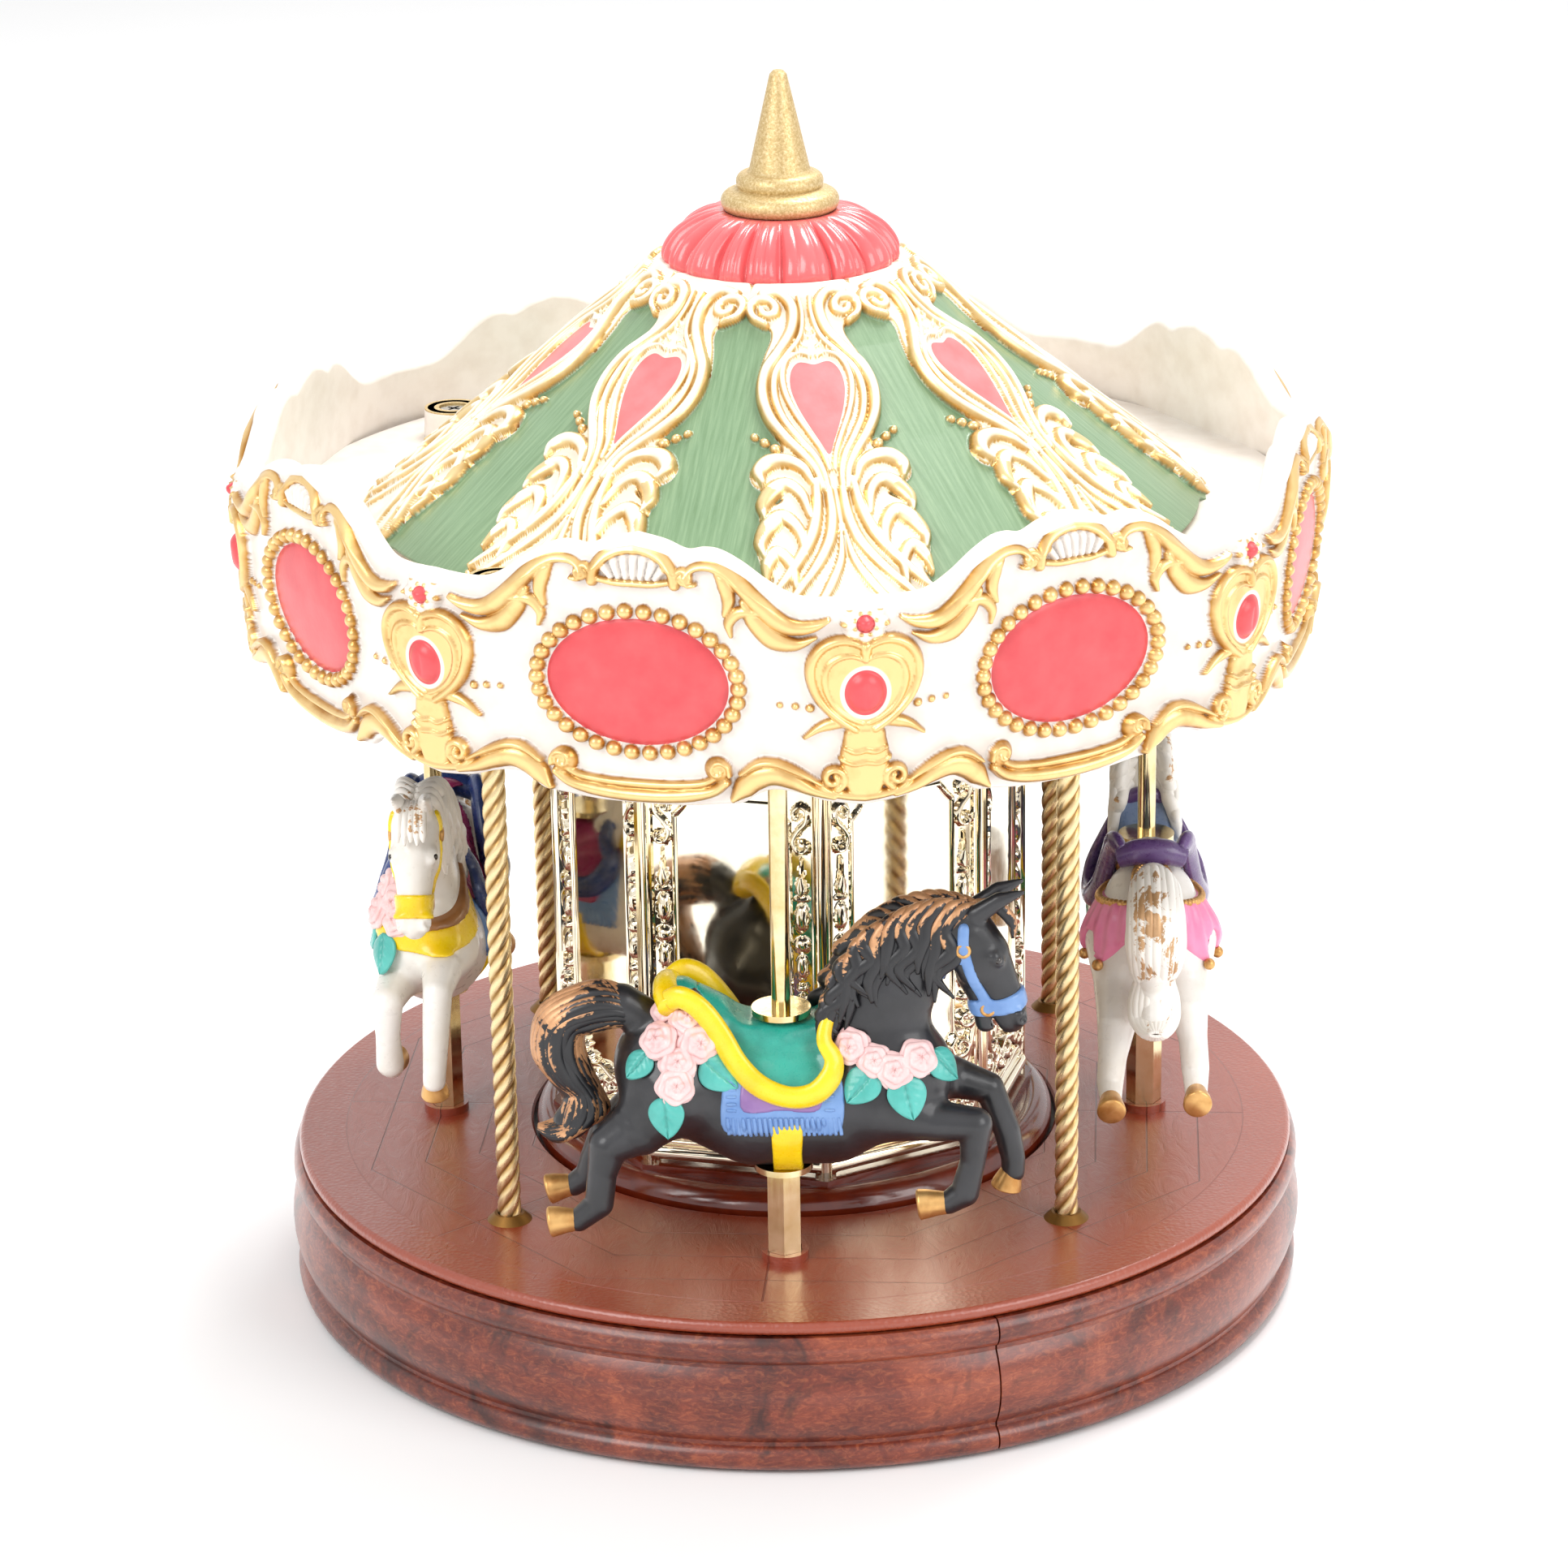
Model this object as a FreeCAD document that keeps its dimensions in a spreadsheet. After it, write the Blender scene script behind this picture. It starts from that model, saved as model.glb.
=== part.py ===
"""Carousel music box: a wind-up carousel with four horses that rise and fall as the deck turns.

+Z is up and the origin is the centre of the base on the surface that it stands on. Millimetres.
Angles are degrees about +Z from +X. The front horse stands on -Y and faces +X.
"""
import FreeCAD, Part
import math
import os
import Sketcher

DIMENSIONS = [
    # the base and its underside
    ("base_bottom", 1.2, "underside of the base ring, which the feet lift off the table"),
    ("base_top", 32.6, "top of the base ring, just under the deck"),
    ("plate_bottom", 1.4, "underside of the bottom plate, and top of the feet"),
    ("base_wall", 113.0, "inner radius of the base ring"),
    ("base_bead", 119.6, "radius of the rounded beads at the top and bottom of the base ring"),
    ("base_band", 120.3, "largest radius of the convex band"),
    ("base_groove", 117.7, "radius of the grooves between band and beads"),
    ("bead_low", 4.0, "height of the middle of the lower bead"),
    ("groove_low", 6.4, "foot of the lower groove"),
    ("groove_height", 1.0, "height of each groove"),
    ("band_middle", 16.2, "height where the convex band is widest"),
    ("groove_high", 25.0, "foot of the upper groove"),
    ("bead_high", 29.6, "height of the middle of the upper bead"),
    ("seam_angle", -68.5, "direction of the seam between the two halves of the base ring"),
    ("seam_gap", 0.1, "half of the opening of that seam, in degrees"),
    ("floor_radius", 112.7, "radius of the bottom plate"),
    ("floor_top", 4.0, "upper face of the bottom plate"),
    ("flange_radius", 105.0, "inner radius of the flange that the bottom plate is screwed to"),
    ("flange_top", 7.0, "upper face of that flange"),
    ("screw_circle", 108.5, "radius of the circle of base screws"),
    ("screw_shank", 1.4, "shank radius of every screw"),
    ("screw_head", 2.9, "head radius of the base screws"),
    ("screw_foot", 1.7, "lower face of the base screws' heads"),
    ("screw_seat", 2.8, "upper face of the base screws' heads"),
    ("screw_tip", 6.0, "upper end of the base screws"),
    ("foot_circle", 98.0, "radius of the circle of feet"),
    ("foot_radius", 7.0, "radius of a foot"),
    # the winding key's well and the movement
    ("drive_reach", 26.2, "distance of the spring barrel from the centre, along +Y"),
    ("well_radius", 19.0, "inner radius of the key's well"),
    ("well_wall", 2.0, "wall of the well"),
    ("well_roof", 14.5, "underside of the well's roof"),
    ("frame_bottom", 16.5, "underside of the movement's bedplate"),
    ("frame_top", 18.5, "upper face of the movement's bedplate"),
    ("frame_radius", 62.0, "radius of the movement's bedplate"),
    ("arbor", 2.0, "radius of the winding arbor"),
    ("spindle", 1.5, "radius of the idler's stub, of the cylinder's shaft and of the poles' spigots"),
    ("governor_shaft", 1.0, "radius of the governor's two shafts"),
    ("bridge_under", 39.5, "underside of the bridge that holds the arbor's upper end"),
    ("bridge_top", 41.5, "top of that bridge"),
    ("barrel_lid", 36.8, "lid of the spring barrel, where the crown teeth stand"),
    ("slide_reach", 54.0, "distance from the centre to the far end of the slot for the stop slide"),
    ("fit", 0.05, "radial clearance of a running fit"),
    ("gap", 0.3, "gap between pieces that move past each other"),
    ("cylinder_height", 42.7, "height of the pinned cylinder's axis"),
    ("cylinder_radius", 7.0, "radius of the pinned cylinder"),
    # the cam track and the turntable
    ("cam_low", 4.7, "lowest point of the cam track"),
    ("cam_rise", 9.4, "rise of the cam track, which is the travel of each horse"),
    ("cam_width", 8.0, "width of the cam track"),
    ("rail_inner", 100.5, "inner radius of the wall under the deck's rim"),
    ("rail_width", 3.0, "thickness of that wall"),
    ("rail_top", 30.0, "top of that wall, where the slip ring lies"),
    ("deck_under", 33.0, "underside of the deck"),
    ("deck_top", 36.0, "top of the deck"),
    ("deck_radius", 118.0, "outer radius of the deck"),
    ("deck_hole", 62.4, "radius of the deck's central hole"),
    ("deck_angle", -1.83, "turn of the deck about the base, as it stands"),
    ("journal", 55.0, "radius of the fixed ring that the turntable runs on"),
    ("gear_bottom", 20.0, "underside of the ring gear"),
    ("gear_outer", 76.0, "outer radius of the ring gear"),
    ("gear_inner", 66.0, "inner radius of the ring gear's blank"),
    ("gear_web", 72.5, "inner radius of the ring gear above its teeth"),
    ("gear_height", 6.0, "height of the toothed part of the ring gear"),
    ("web_height", 3.5, "thickness of the web between the ring gear and the fixed ring"),
    ("journal_foot", 27.0, "underside of that fixed ring"),
    ("journal_bore", 48.0, "inner radius of that fixed ring and of the plinth"),
    ("post_radius", 4.0, "radius of the posts under that ring"),
    ("post_circle", 50.5, "radius of the circle of those posts"),
    # the horses and the poles
    ("horse_circle", 83.4, "radius of the circle on which the horses' poles stand"),
    ("pole_circle", 89.3, "radius of the circle of twisted poles"),
    ("tube_radius", 2.1, "radius of the brass tube above each horse"),
    ("tube_top", 171.0, "top of the tube of a horse at its lowest"),
    ("bar_flats", 7.2, "width across the flats of the hexagonal bar under each horse"),
    ("bar_bottom", 14.4, "bottom of the bar of a horse at its lowest"),
    ("belly", 57.8, "height of the disc under a horse's belly at its lowest"),
    ("saddle", 95.4, "height of the disc on a horse's saddle at its lowest"),
    ("washer", 6.5, "radius of the discs above and below each horse"),
    ("washer_height", 1.4, "thickness of those discs"),
    ("twist_radius", 2.7, "radius of a twisted pole"),
    ("collar_radius", 5.3, "radius of the collars in the deck"),
    ("collar_sleeve", 4.6, "radius of the collars' sleeves"),
    ("bush_radius", 3.0, "radius of the bushes that guide the tubes"),
    ("ring_under", 164.0, "underside of the ring that joins the poles at the top"),
    ("ring_top", 167.0, "top of that ring"),
    ("ring_outer", 97.0, "outer radius of that ring"),
    ("ring_inner", 58.0, "radius of the journal that the ring turns on"),
    # the column
    ("journal_top", 34.0, "top of the fixed ring in the deck's hole, and foot of the plinth"),
    ("plinth_radius", 61.4, "radius of the plinth"),
    ("plinth_top", 40.4, "top of the plinth's round moulding"),
    ("column_foot", 42.0, "height where the column's panels begin"),
    ("column_top", 160.0, "top of the column's panels"),
    ("column_radius", 55.0, "corner radius of the eight-sided column"),
    ("column_angle", -82.7, "direction of one corner of the column, and of one shield of the canopy"),
    ("panel_depth", 2.6, "thickness of a mirror panel"),
    ("core_wall", 3.0, "thickness of the tube behind the panels"),
    ("corner_radius", 2.2, "radius of the mouldings at the corners"),
    ("cap_flange", 60.0, "radius of the flange of the column's cap"),
    # the canopy
    ("tray_under", 184.0, "underside of the canopy's tray"),
    ("tray_top", 187.0, "top of the canopy's tray, where the roof stands"),
    ("tray_hole", 88.0, "radius of the opening in the tray, under the roof"),
    ("crown_radius", 124.0, "largest radius of the canopy's wavy wall"),
    ("crown_wall", 3.0, "thickness of that wall"),
    ("crown_bottom", 153.6, "lowest edge of the canopy's wall"),
    ("crown_top", 213.5, "highest edge of the canopy's wall"),
    ("roof_radius", 94.5, "radius of the roof at its lower edge"),
    ("roof_wall", 3.5, "thickness of the roof, measured across"),
    ("roof_bend", 60.0, "radius where the roof grows steeper first"),
    ("roof_bend_top", 215.6, "height of the roof there"),
    ("roof_shoulder", 40.0, "radius where the roof grows steeper again"),
    ("roof_shoulder_top", 231.9, "height of the roof there"),
    ("roof_neck", 27.0, "radius of the roof at its top"),
    ("roof_top", 243.5, "top of the roof's cone"),
    ("cap_radius", 27.2, "radius of the fluted cap"),
    ("cap_rim", 245.7, "height of the fluted cap's rim"),
    ("cap_top", 255.0, "height where the fluted cap meets the finial"),
    ("finial_foot", 13.2, "radius of the finial's foot"),
    ("finial_cone", 6.85, "radius of the foot of the finial's spire"),
    ("finial_top", 286.1, "tip of the finial"),
    ("rod_radius", 2.0, "radius of the tie rod"),
    ("boss_circle", 100.0, "radius of the circle of canopy screws"),
    ("boss_radius", 7.0, "radius of a screw cup in the canopy's tray"),
    ("boss_top", 194.0, "top of a screw cup"),
]

HORSES = 4
CORNERS = 8
HORSE_NAMES = ["front", "right", "rear", "left"]
RAISED = {"right", "left"}

doc = FreeCAD.newDocument("carousel_music_box")
sheet = doc.addObject("Spreadsheet::Sheet", "dims")
for row, (alias, value, meaning) in enumerate(DIMENSIONS, start=1):
    sheet.set(f"A{row}", meaning)
    sheet.set(f"B{row}", str(value))
    sheet.setAlias(f"B{row}", alias)
doc.recompute()

subparts = []


def size(expression):
    """The value of an expression on the sheet's dimensions, in millimetres or degrees."""
    return float(sheet.evalExpression(expression))


def keep(item, label):
    """Name a finished sub-part and put it on the list of pieces to write."""
    item.Label = label
    subparts.append(item)
    return item


def bind(item, expressions):
    """Tie an object's properties to expressions on the sheet."""
    for name, expression in expressions.items():
        item.setExpression(name, expression)
    return item


def place(item, x="0", y="0", z="0", turn=None):
    """Tie an object's place to the sheet, with an optional turn about +Z."""
    bind(item, {"Placement.Base.x": x, "Placement.Base.y": y, "Placement.Base.z": z})
    if turn:
        item.setExpression("Placement.Rotation.Angle", turn)
    return item


# ---------------------------------------------------------------- general shapes

def origin_plane(body, role):
    """One of a body's own origin planes."""
    return [f for f in body.Origin.OriginFeatures if f.Role == role][0]


def new_sketch(body, name, role):
    """A sketch on one of the body's origin planes."""
    sketch = body.newObject("Sketcher::SketchObject", name)
    sketch.AttachmentSupport = [(origin_plane(body, role), "")]
    sketch.MapMode = "FlatFace"
    return sketch


def pin_point(sketch, index, end, across, up):
    """Tie one end of a sketched edge to two expressions on the sheet."""
    for kind, expression in (("DistanceX", across), ("DistanceY", up)):
        number = sketch.addConstraint(
            Sketcher.Constraint(kind, -1, 1, index, end, size(expression)))
        sketch.setExpression(f"Constraints[{number}]", expression)


def draw_outline(sketch, outline):
    """Draw a closed outline of straight edges and arcs.

    Each point is (across, up), and an arc's middle point is (across, up, "arc").
    """
    corners = [p for p in outline if len(p) == 2]
    arcs = {}
    last = -1
    for point in outline:
        if len(point) == 2:
            last += 1
        else:
            arcs[last] = point
    spots = [FreeCAD.Vector(size(p[0]), size(p[1]), 0) for p in corners]
    count = len(corners)
    for number in range(count):
        start = spots[number]
        finish = spots[(number + 1) % count]
        if number in arcs:
            middle = FreeCAD.Vector(size(arcs[number][0]), size(arcs[number][1]), 0)
            sketch.addGeometry(Part.Arc(start, middle, finish))
            continue
        sketch.addGeometry(Part.LineSegment(start, finish))
    # an arc's own ends run anticlockwise, so its drawn start may be its second end
    ends = []
    for number in range(count):
        geometry = sketch.Geometry[number]
        straight = number not in arcs
        first = straight or geometry.StartPoint.distanceToPoint(spots[number]) < 1e-6
        ends.append((1, 2) if first else (2, 1))
    for number in range(count):
        after = (number + 1) % count
        sketch.addConstraint(Sketcher.Constraint(
            "Coincident", number, ends[number][1], after, ends[after][0]))
        pin_point(sketch, number, ends[number][0], *corners[number])
    for number in arcs:
        sketch.addConstraint(Sketcher.Constraint("Radius", number, sketch.Geometry[number].Radius))


def turned(name, outline, angle=360):
    """A body made by turning an outline of radius and height about the Z axis."""
    body = doc.addObject("PartDesign::Body", name)
    sketch = new_sketch(body, name + "_outline", "XZ_Plane")
    draw_outline(sketch, outline)
    revolution = body.newObject("PartDesign::Revolution", name + "_turned")
    revolution.Profile = sketch
    revolution.ReferenceAxis = (sketch, ["V_Axis"])
    if isinstance(angle, str):
        revolution.setExpression("Angle", angle)
    else:
        revolution.Angle = angle
    body.Tip = revolution
    return body


def rod(name, radius, bottom, top, x="0", y="0"):
    """An upright cylinder between two heights."""
    item = doc.addObject("Part::Cylinder", name)
    bind(item, {"Radius": radius, "Height": f"({top}) - ({bottom})"})
    return place(item, x, y, bottom)


def hexagon(name, flats, bottom, top, x="0", y="0", turn=None):
    """An upright hexagonal bar between two heights."""
    item = doc.addObject("Part::Prism", name)
    item.Polygon = 6
    bind(item, {"Circumradius": f"({flats}) / 2 / cos(30)", "Height": f"({top}) - ({bottom})"})
    return place(item, x, y, bottom, turn)


def cut(name, base, tool):
    """One solid less another."""
    item = doc.addObject("Part::Cut", name)
    item.Base = base
    item.Tool = tool
    return item


def joined(name, items):
    """Several solids fused into one."""
    item = doc.addObject("Part::MultiFuse", name)
    item.Shapes = items
    item.Refine = True
    return item


def group(name, items):
    """Several separate solids in one sub-part."""
    item = doc.addObject("Part::Compound", name)
    item.Links = items
    return item


def circle_x(radius, angle):
    """The expression for X on a circle about +Z."""
    return f"({radius}) * cos({angle})"


def circle_y(radius, angle):
    """The expression for Y on a circle about +Z."""
    return f"({radius}) * sin({angle})"


def around(count, start):
    """The directions of equally spaced places on a circle, as expressions."""
    return [f"{start} + {360 / count * k}" for k in range(count)]


def rods_around(name, radius, bottom, top, circle, angles):
    """Upright cylinders on a circle."""
    return [rod(f"{name}_{k}", radius, bottom, top, circle_x(circle, a), circle_y(circle, a))
            for k, a in enumerate(angles)]


# ---------------------------------------------------------------- gears and curved pieces

def polygon_face(points, height):
    """A flat face at a height, bounded by straight edges."""
    wire = Part.makePolygon([FreeCAD.Vector(x, y, height) for x, y in points + points[:1]])
    return Part.Face(wire)


def tooth_ring(teeth, pitch, foot, tip, phase, width=0.38):
    """Outline of a toothed rim: each tooth is a trapezium, widest at its foot."""
    step = 2 * math.pi / teeth
    narrow = 0.55 * width
    wide = width + 0.16
    points = []
    for tooth in range(teeth):
        middle = math.radians(phase) + tooth * step
        for radius, share in ((foot, -wide), (tip, -narrow), (tip, narrow), (foot, wide)):
            angle = middle + 0.5 * share * step * pitch / radius
            points.append((radius * math.cos(angle), radius * math.sin(angle)))
    return points


def spur_gear(teeth, module, phase, bottom, top):
    """A solid spur gear with room between its teeth for backlash."""
    pitch = teeth * module / 2
    outline = tooth_ring(teeth, pitch, pitch - module, pitch + 0.75 * module, phase)
    return polygon_face(outline, bottom).extrude(FreeCAD.Vector(0, 0, top - bottom))


def upright(radius, bottom, top):
    """A cylinder about the Z axis between two heights."""
    return Part.makeCylinder(radius, top - bottom, FreeCAD.Vector(0, 0, bottom))


def along_y(radius, start, finish, x=0.0, z=0.0):
    """A cylinder whose axis runs along +Y."""
    return Part.makeCylinder(radius, finish - start, FreeCAD.Vector(x, start, z), FreeCAD.Vector(0, 1, 0))


def fused(shapes):
    """Several shapes made into one, without the seams between them."""
    return shapes[0].multiFuse(shapes[1:]).removeSplitter()


def feature(label, shape, x=0.0, y=0.0, z=0.0, turn=0.0):
    """A sub-part whose shape comes from Part's functions, with its sizes read from the sheet."""
    item = doc.addObject("Part::Feature", label)
    item.Shape = shape
    place_here = FreeCAD.Placement(
        FreeCAD.Vector(x, y, z), FreeCAD.Rotation(FreeCAD.Vector(0, 0, 1), turn))
    item.Placement = place_here.multiply(shape.Placement)
    return keep(item, label)


# ---------------------------------------------------------------- base

BASE_SCREWS = around(4, "dims.seam_angle + 45")
SLOT_WIDTH, SLOT_LENGTH = 5.0, 14.0


def base_half(label, start):
    """Half of the moulded base ring, with a flange inside for the bottom plate's screws."""
    half = turned(label + "_ring", [
        ("dims.base_wall", "dims.base_bottom"),
        ("dims.base_bead - 0.9", "dims.base_bottom"),
        ("dims.base_bead", "dims.bead_low", "arc"),
        ("dims.base_groove", "dims.groove_low"),
        ("dims.base_groove", "dims.groove_low + dims.groove_height"),
        ("dims.base_band", "dims.band_middle", "arc"),
        ("dims.base_groove", "dims.groove_high"),
        ("dims.base_groove", "dims.groove_high + dims.groove_height"),
        ("dims.base_bead", "dims.bead_high", "arc"),
        ("dims.base_bead - 1.6", "dims.base_top"),
        ("dims.base_wall", "dims.base_top"),
        ("dims.base_wall", "dims.flange_top"),
        ("dims.flange_radius", "dims.flange_top"),
        ("dims.flange_radius", "dims.floor_top"),
        ("dims.base_wall", "dims.floor_top"),
    ], "180 - 2 * dims.seam_gap")
    half.setExpression("Placement.Rotation.Angle", f"{start} + dims.seam_gap")
    holes = group(label + "_holes", rods_around(
        label + "_hole", "dims.screw_shank", "dims.floor_top - 1", "dims.screw_tip",
        "dims.screw_circle", [f"{start} + 45", f"{start} + 135"]))
    keep(cut(label, half, holes), label)


def bottom_plate():
    """The plate that closes the base, with a deep well for the winding key and a slot."""
    plate = turned("bottom_disc", [
        ("0", "dims.plate_bottom"),
        ("dims.floor_radius", "dims.plate_bottom"),
        ("dims.floor_radius", "dims.floor_top"),
        ("0", "dims.floor_top"),
    ])
    outside = rod("well_outside", "dims.well_radius + dims.well_wall", "dims.floor_top - 1",
                  "dims.frame_bottom", "0", "dims.drive_reach")
    solid = joined("bottom_solid", [plate, outside])
    well = rod("well_inside", "dims.well_radius", "0", "dims.well_roof", "0", "dims.drive_reach")
    bearing = rod("well_bearing", "dims.arbor + dims.fit", "0", "dims.frame_top", "0",
                  "dims.drive_reach")
    shanks = rods_around("plate_hole", "dims.screw_shank", "0", "dims.flange_top",
                         "dims.screw_circle", BASE_SCREWS)
    heads = rods_around("plate_sink", "dims.screw_head", "0", "dims.screw_seat",
                        "dims.screw_circle", BASE_SCREWS)
    slot = doc.addObject("Part::Box", "slide_slot")
    bind(slot, {"Length": str(SLOT_WIDTH), "Width": str(SLOT_LENGTH), "Height": "dims.flange_top"})
    place(slot, str(-SLOT_WIDTH / 2), "2 - dims.slide_reach", "0")
    tools = group("plate_cuts", [well, bearing, slot] + shanks + heads)
    keep(cut("bottom_plate", solid, tools), "bottom_plate")


def base_screws():
    """Four screws that hold the bottom plate to the base ring's flange."""
    screws = []
    for k, angle in enumerate(BASE_SCREWS):
        x, y = circle_x("dims.screw_circle", angle), circle_y("dims.screw_circle", angle)
        head = rod(f"base_screw_head_{k}", "dims.screw_head", "dims.screw_foot", "dims.screw_seat",
                   x, y)
        shank = rod(f"base_screw_shank_{k}", "dims.screw_shank", "dims.screw_seat",
                    "dims.screw_tip", x, y)
        screws.append(joined(f"base_screw_{k}", [head, shank]))
    keep(group("base_screws", screws), "base_screws")


def base_feet():
    """Four thin feet under the bottom plate."""
    feet = rods_around("foot", "dims.foot_radius", "0", "dims.plate_bottom",
                       "dims.foot_circle", around(4, "45"))
    keep(group("base_feet", feet), "base_feet")


def cam_height(angle):
    """Height of the cam in a direction: lowest under the front and rear horses, two crests a turn."""
    front = math.radians(size("dims.deck_angle") - 90)
    return size("dims.cam_low") + size("dims.cam_rise") * 0.5 * (1 - math.cos(2 * (angle - front)))


def cam_section(inner, outer, foot, angle):
    """The four corners of the ridge's section in one direction."""
    crest = cam_height(angle)
    way = FreeCAD.Vector(math.cos(angle), math.sin(angle), 0)
    corners = ((inner, foot), (outer, foot), (outer, crest), (inner, crest))
    return [way * radius + FreeCAD.Vector(0, 0, height) for radius, height in corners]


def cam_wave(inner, outer, foot, steps=90):
    """The wavy ridge, as a closed ring of small flat faces."""
    rings = [cam_section(inner, outer, foot, 2 * math.pi * k / steps) for k in range(steps)]
    faces = []
    for k in range(steps):
        here = rings[k]
        ahead = rings[(k + 1) % steps]
        for side in range(4):
            other = (side + 1) % 4
            for corners in ([here[side], here[other], ahead[other]],
                            [here[side], ahead[other], ahead[side]]):
                faces.append(Part.Face(Part.makePolygon(corners + corners[:1])))
    wave = Part.makeSolid(Part.makeShell(faces))
    if wave.Volume < 0:
        wave.reverse()
    return wave


def cam_track():
    """The wavy track under the horses' bars, and the wall that carries the deck's rim."""
    inner = size("dims.horse_circle - dims.cam_width / 2")
    outer = size("dims.horse_circle + dims.cam_width / 2")
    foot = size("dims.floor_top")
    rail = size("dims.rail_inner")
    thick = size("dims.rail_width")
    top = size("dims.rail_top")
    floor = upright(rail + thick, foot, foot + 0.6).cut(upright(inner - 1, foot - 1, foot + 2))
    wall = upright(rail + thick, foot, top).cut(upright(rail, foot - 1, top + 1))
    feature("cam_track", fused([floor, wall, cam_wave(inner, outer, foot + 0.3)]))


def slip_ring():
    """A low-friction ring on the wall, just under the deck's rim."""
    keep(turned("slip_ring", [
        ("dims.rail_inner", "dims.rail_top"),
        ("dims.rail_inner + dims.rail_width", "dims.rail_top"),
        ("dims.rail_inner + dims.rail_width", "dims.deck_under - dims.gap"),
        ("dims.rail_inner", "dims.deck_under - dims.gap"),
    ]), "slip_ring")


# ---------------------------------------------------------------- movement

RING_TEETH, RING_MODULE = 140, 1.0
WHEEL_TEETH = 30
PINION_TEETH, BARREL_TEETH, BARREL_MODULE = 12, 60, 0.8
CROWN_TEETH, CROWN_RADIUS = 30, 15.0
CYLINDER_TEETH = 10
END_TEETH, END_MODULE = 24, 0.8
GOVERNOR_TEETH = 12
GOVERNOR_X = -(END_TEETH + GOVERNOR_TEETH) * END_MODULE / 2
WORM_WHEEL, WORM_TEETH, WORM_PITCH = 6.3, 20, 2.0
WORM_X = GOVERNOR_X - WORM_WHEEL - 2.5
WORM_Y = -29.9
POST_ANGLES = ["30", "150", "210", "330"]
COMB_TEETH = 18
COMB_START, COMB_PITCH = -28.0, 1.45
COMB_HOLES = (-25.0, -15.0, -5.0)
COMB_SCREW_X = 21.5
CHEEK_NEAR, CHEEK_FAR = -1.2, -33.0
PILLAR_SIDE = 28.5
IDLER_Y = size("dims.drive_reach") + (PINION_TEETH + BARREL_TEETH) * BARREL_MODULE / 2
WHEEL_FOOT, WHEEL_TOP = 22.4, 25.6
END_FOOT, END_TOP = -36.6, -34.2


def hub_posts():
    """Four posts from the bottom plate to the fixed ring that carries plinth and column."""
    keep(group("hub_posts", rods_around(
        "hub_post", "dims.post_radius", "dims.floor_top", "dims.journal_foot", "dims.post_circle",
        POST_ANGLES)), "hub_posts")


def hub_journal():
    """The fixed ring in the deck's hole, which the turntable runs on."""
    keep(turned("hub_journal", [
        ("dims.journal_bore", "dims.journal_foot"),
        ("dims.journal - dims.fit", "dims.journal_foot"),
        ("dims.journal - dims.fit", "dims.journal_top"),
        ("dims.journal_bore", "dims.journal_top"),
    ]), "hub_journal")


def stood_at(shape, x, y):
    """A shape moved across the bedplate."""
    shape.translate(FreeCAD.Vector(x, y, 0))
    return shape


def movement_posts():
    """The parts that stand on the bedplate: cheeks, bridge, comb's seat, worm's arm and stub."""
    low = size("dims.frame_bottom")
    reach = size("dims.drive_reach")
    axis = size("dims.cylinder_height")
    bridge = size("dims.bridge_under")
    thick = size("dims.bridge_top") - bridge
    width, arm = 62, 51.2
    cheeks = [Part.makeBox(8, 2, axis + 4 - low, FreeCAD.Vector(-4, start, low))
              for start in (CHEEK_NEAR, CHEEK_FAR)]
    pillars = [stood_at(upright(2.5, low, bridge + thick), PILLAR_SIDE * side, reach)
               for side in (-1, 1)]
    beam = Part.makeBox(width, 8, thick, FreeCAD.Vector(-width / 2, reach - 4, bridge))
    seat = Part.makeBox(10, 30, axis - 0.5 - low, FreeCAD.Vector(17, -29, low))
    mast = Part.makeBox(4.4, 2, arm - low, FreeCAD.Vector(-16.6, CHEEK_FAR, low))
    bracket = Part.makeBox(14.3, 6, 1.6, FreeCAD.Vector(-26.5, CHEEK_FAR, arm - 1.6))
    stub = stood_at(upright(size("dims.spindle"), low, WHEEL_TOP + 0.7), 0, IDLER_Y)
    return cheeks + pillars + [beam, seat, mast, bracket, stub]


def movement_bores():
    """The bearings in the frame, the holes for the hub's posts and the slot for the slide."""
    low, high = size("dims.frame_bottom - 1"), size("dims.bridge_top + 20")
    axis = size("dims.cylinder_height")
    spindle, shaft = size("dims.spindle + dims.fit"), size("dims.governor_shaft + dims.fit")
    arbor = upright(size("dims.arbor + dims.fit"), low, high)
    slot = FreeCAD.Vector(-SLOT_WIDTH / 2, -size("dims.slide_reach"), low - 3)
    bores = [
        along_y(spindle, CHEEK_FAR - 1, 9, 0, axis),
        along_y(shaft, CHEEK_FAR - 1, CHEEK_FAR + 3, GOVERNOR_X, axis),
        stood_at(arbor, 0, size("dims.drive_reach")),
        stood_at(upright(shaft, low, high), WORM_X, WORM_Y),
        Part.makeBox(SLOT_WIDTH, SLOT_LENGTH, 10, slot),
    ]
    for angle in POST_ANGLES:
        x, y = size(circle_x("dims.post_circle", angle)), size(circle_y("dims.post_circle", angle))
        bores.append(stood_at(upright(size("dims.post_radius + 0.2"), low, low + 4), x, y))
    return bores


def movement_frame():
    """Bedplate with the cylinder's bearing cheeks, the barrel's bridge and the comb's seat."""
    bedplate = upright(size("dims.frame_radius"), size("dims.frame_bottom"), size("dims.frame_top"))
    frame = fused([bedplate] + movement_posts())
    feature("movement_frame", frame.cut(Part.makeCompound(movement_bores())))


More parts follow.
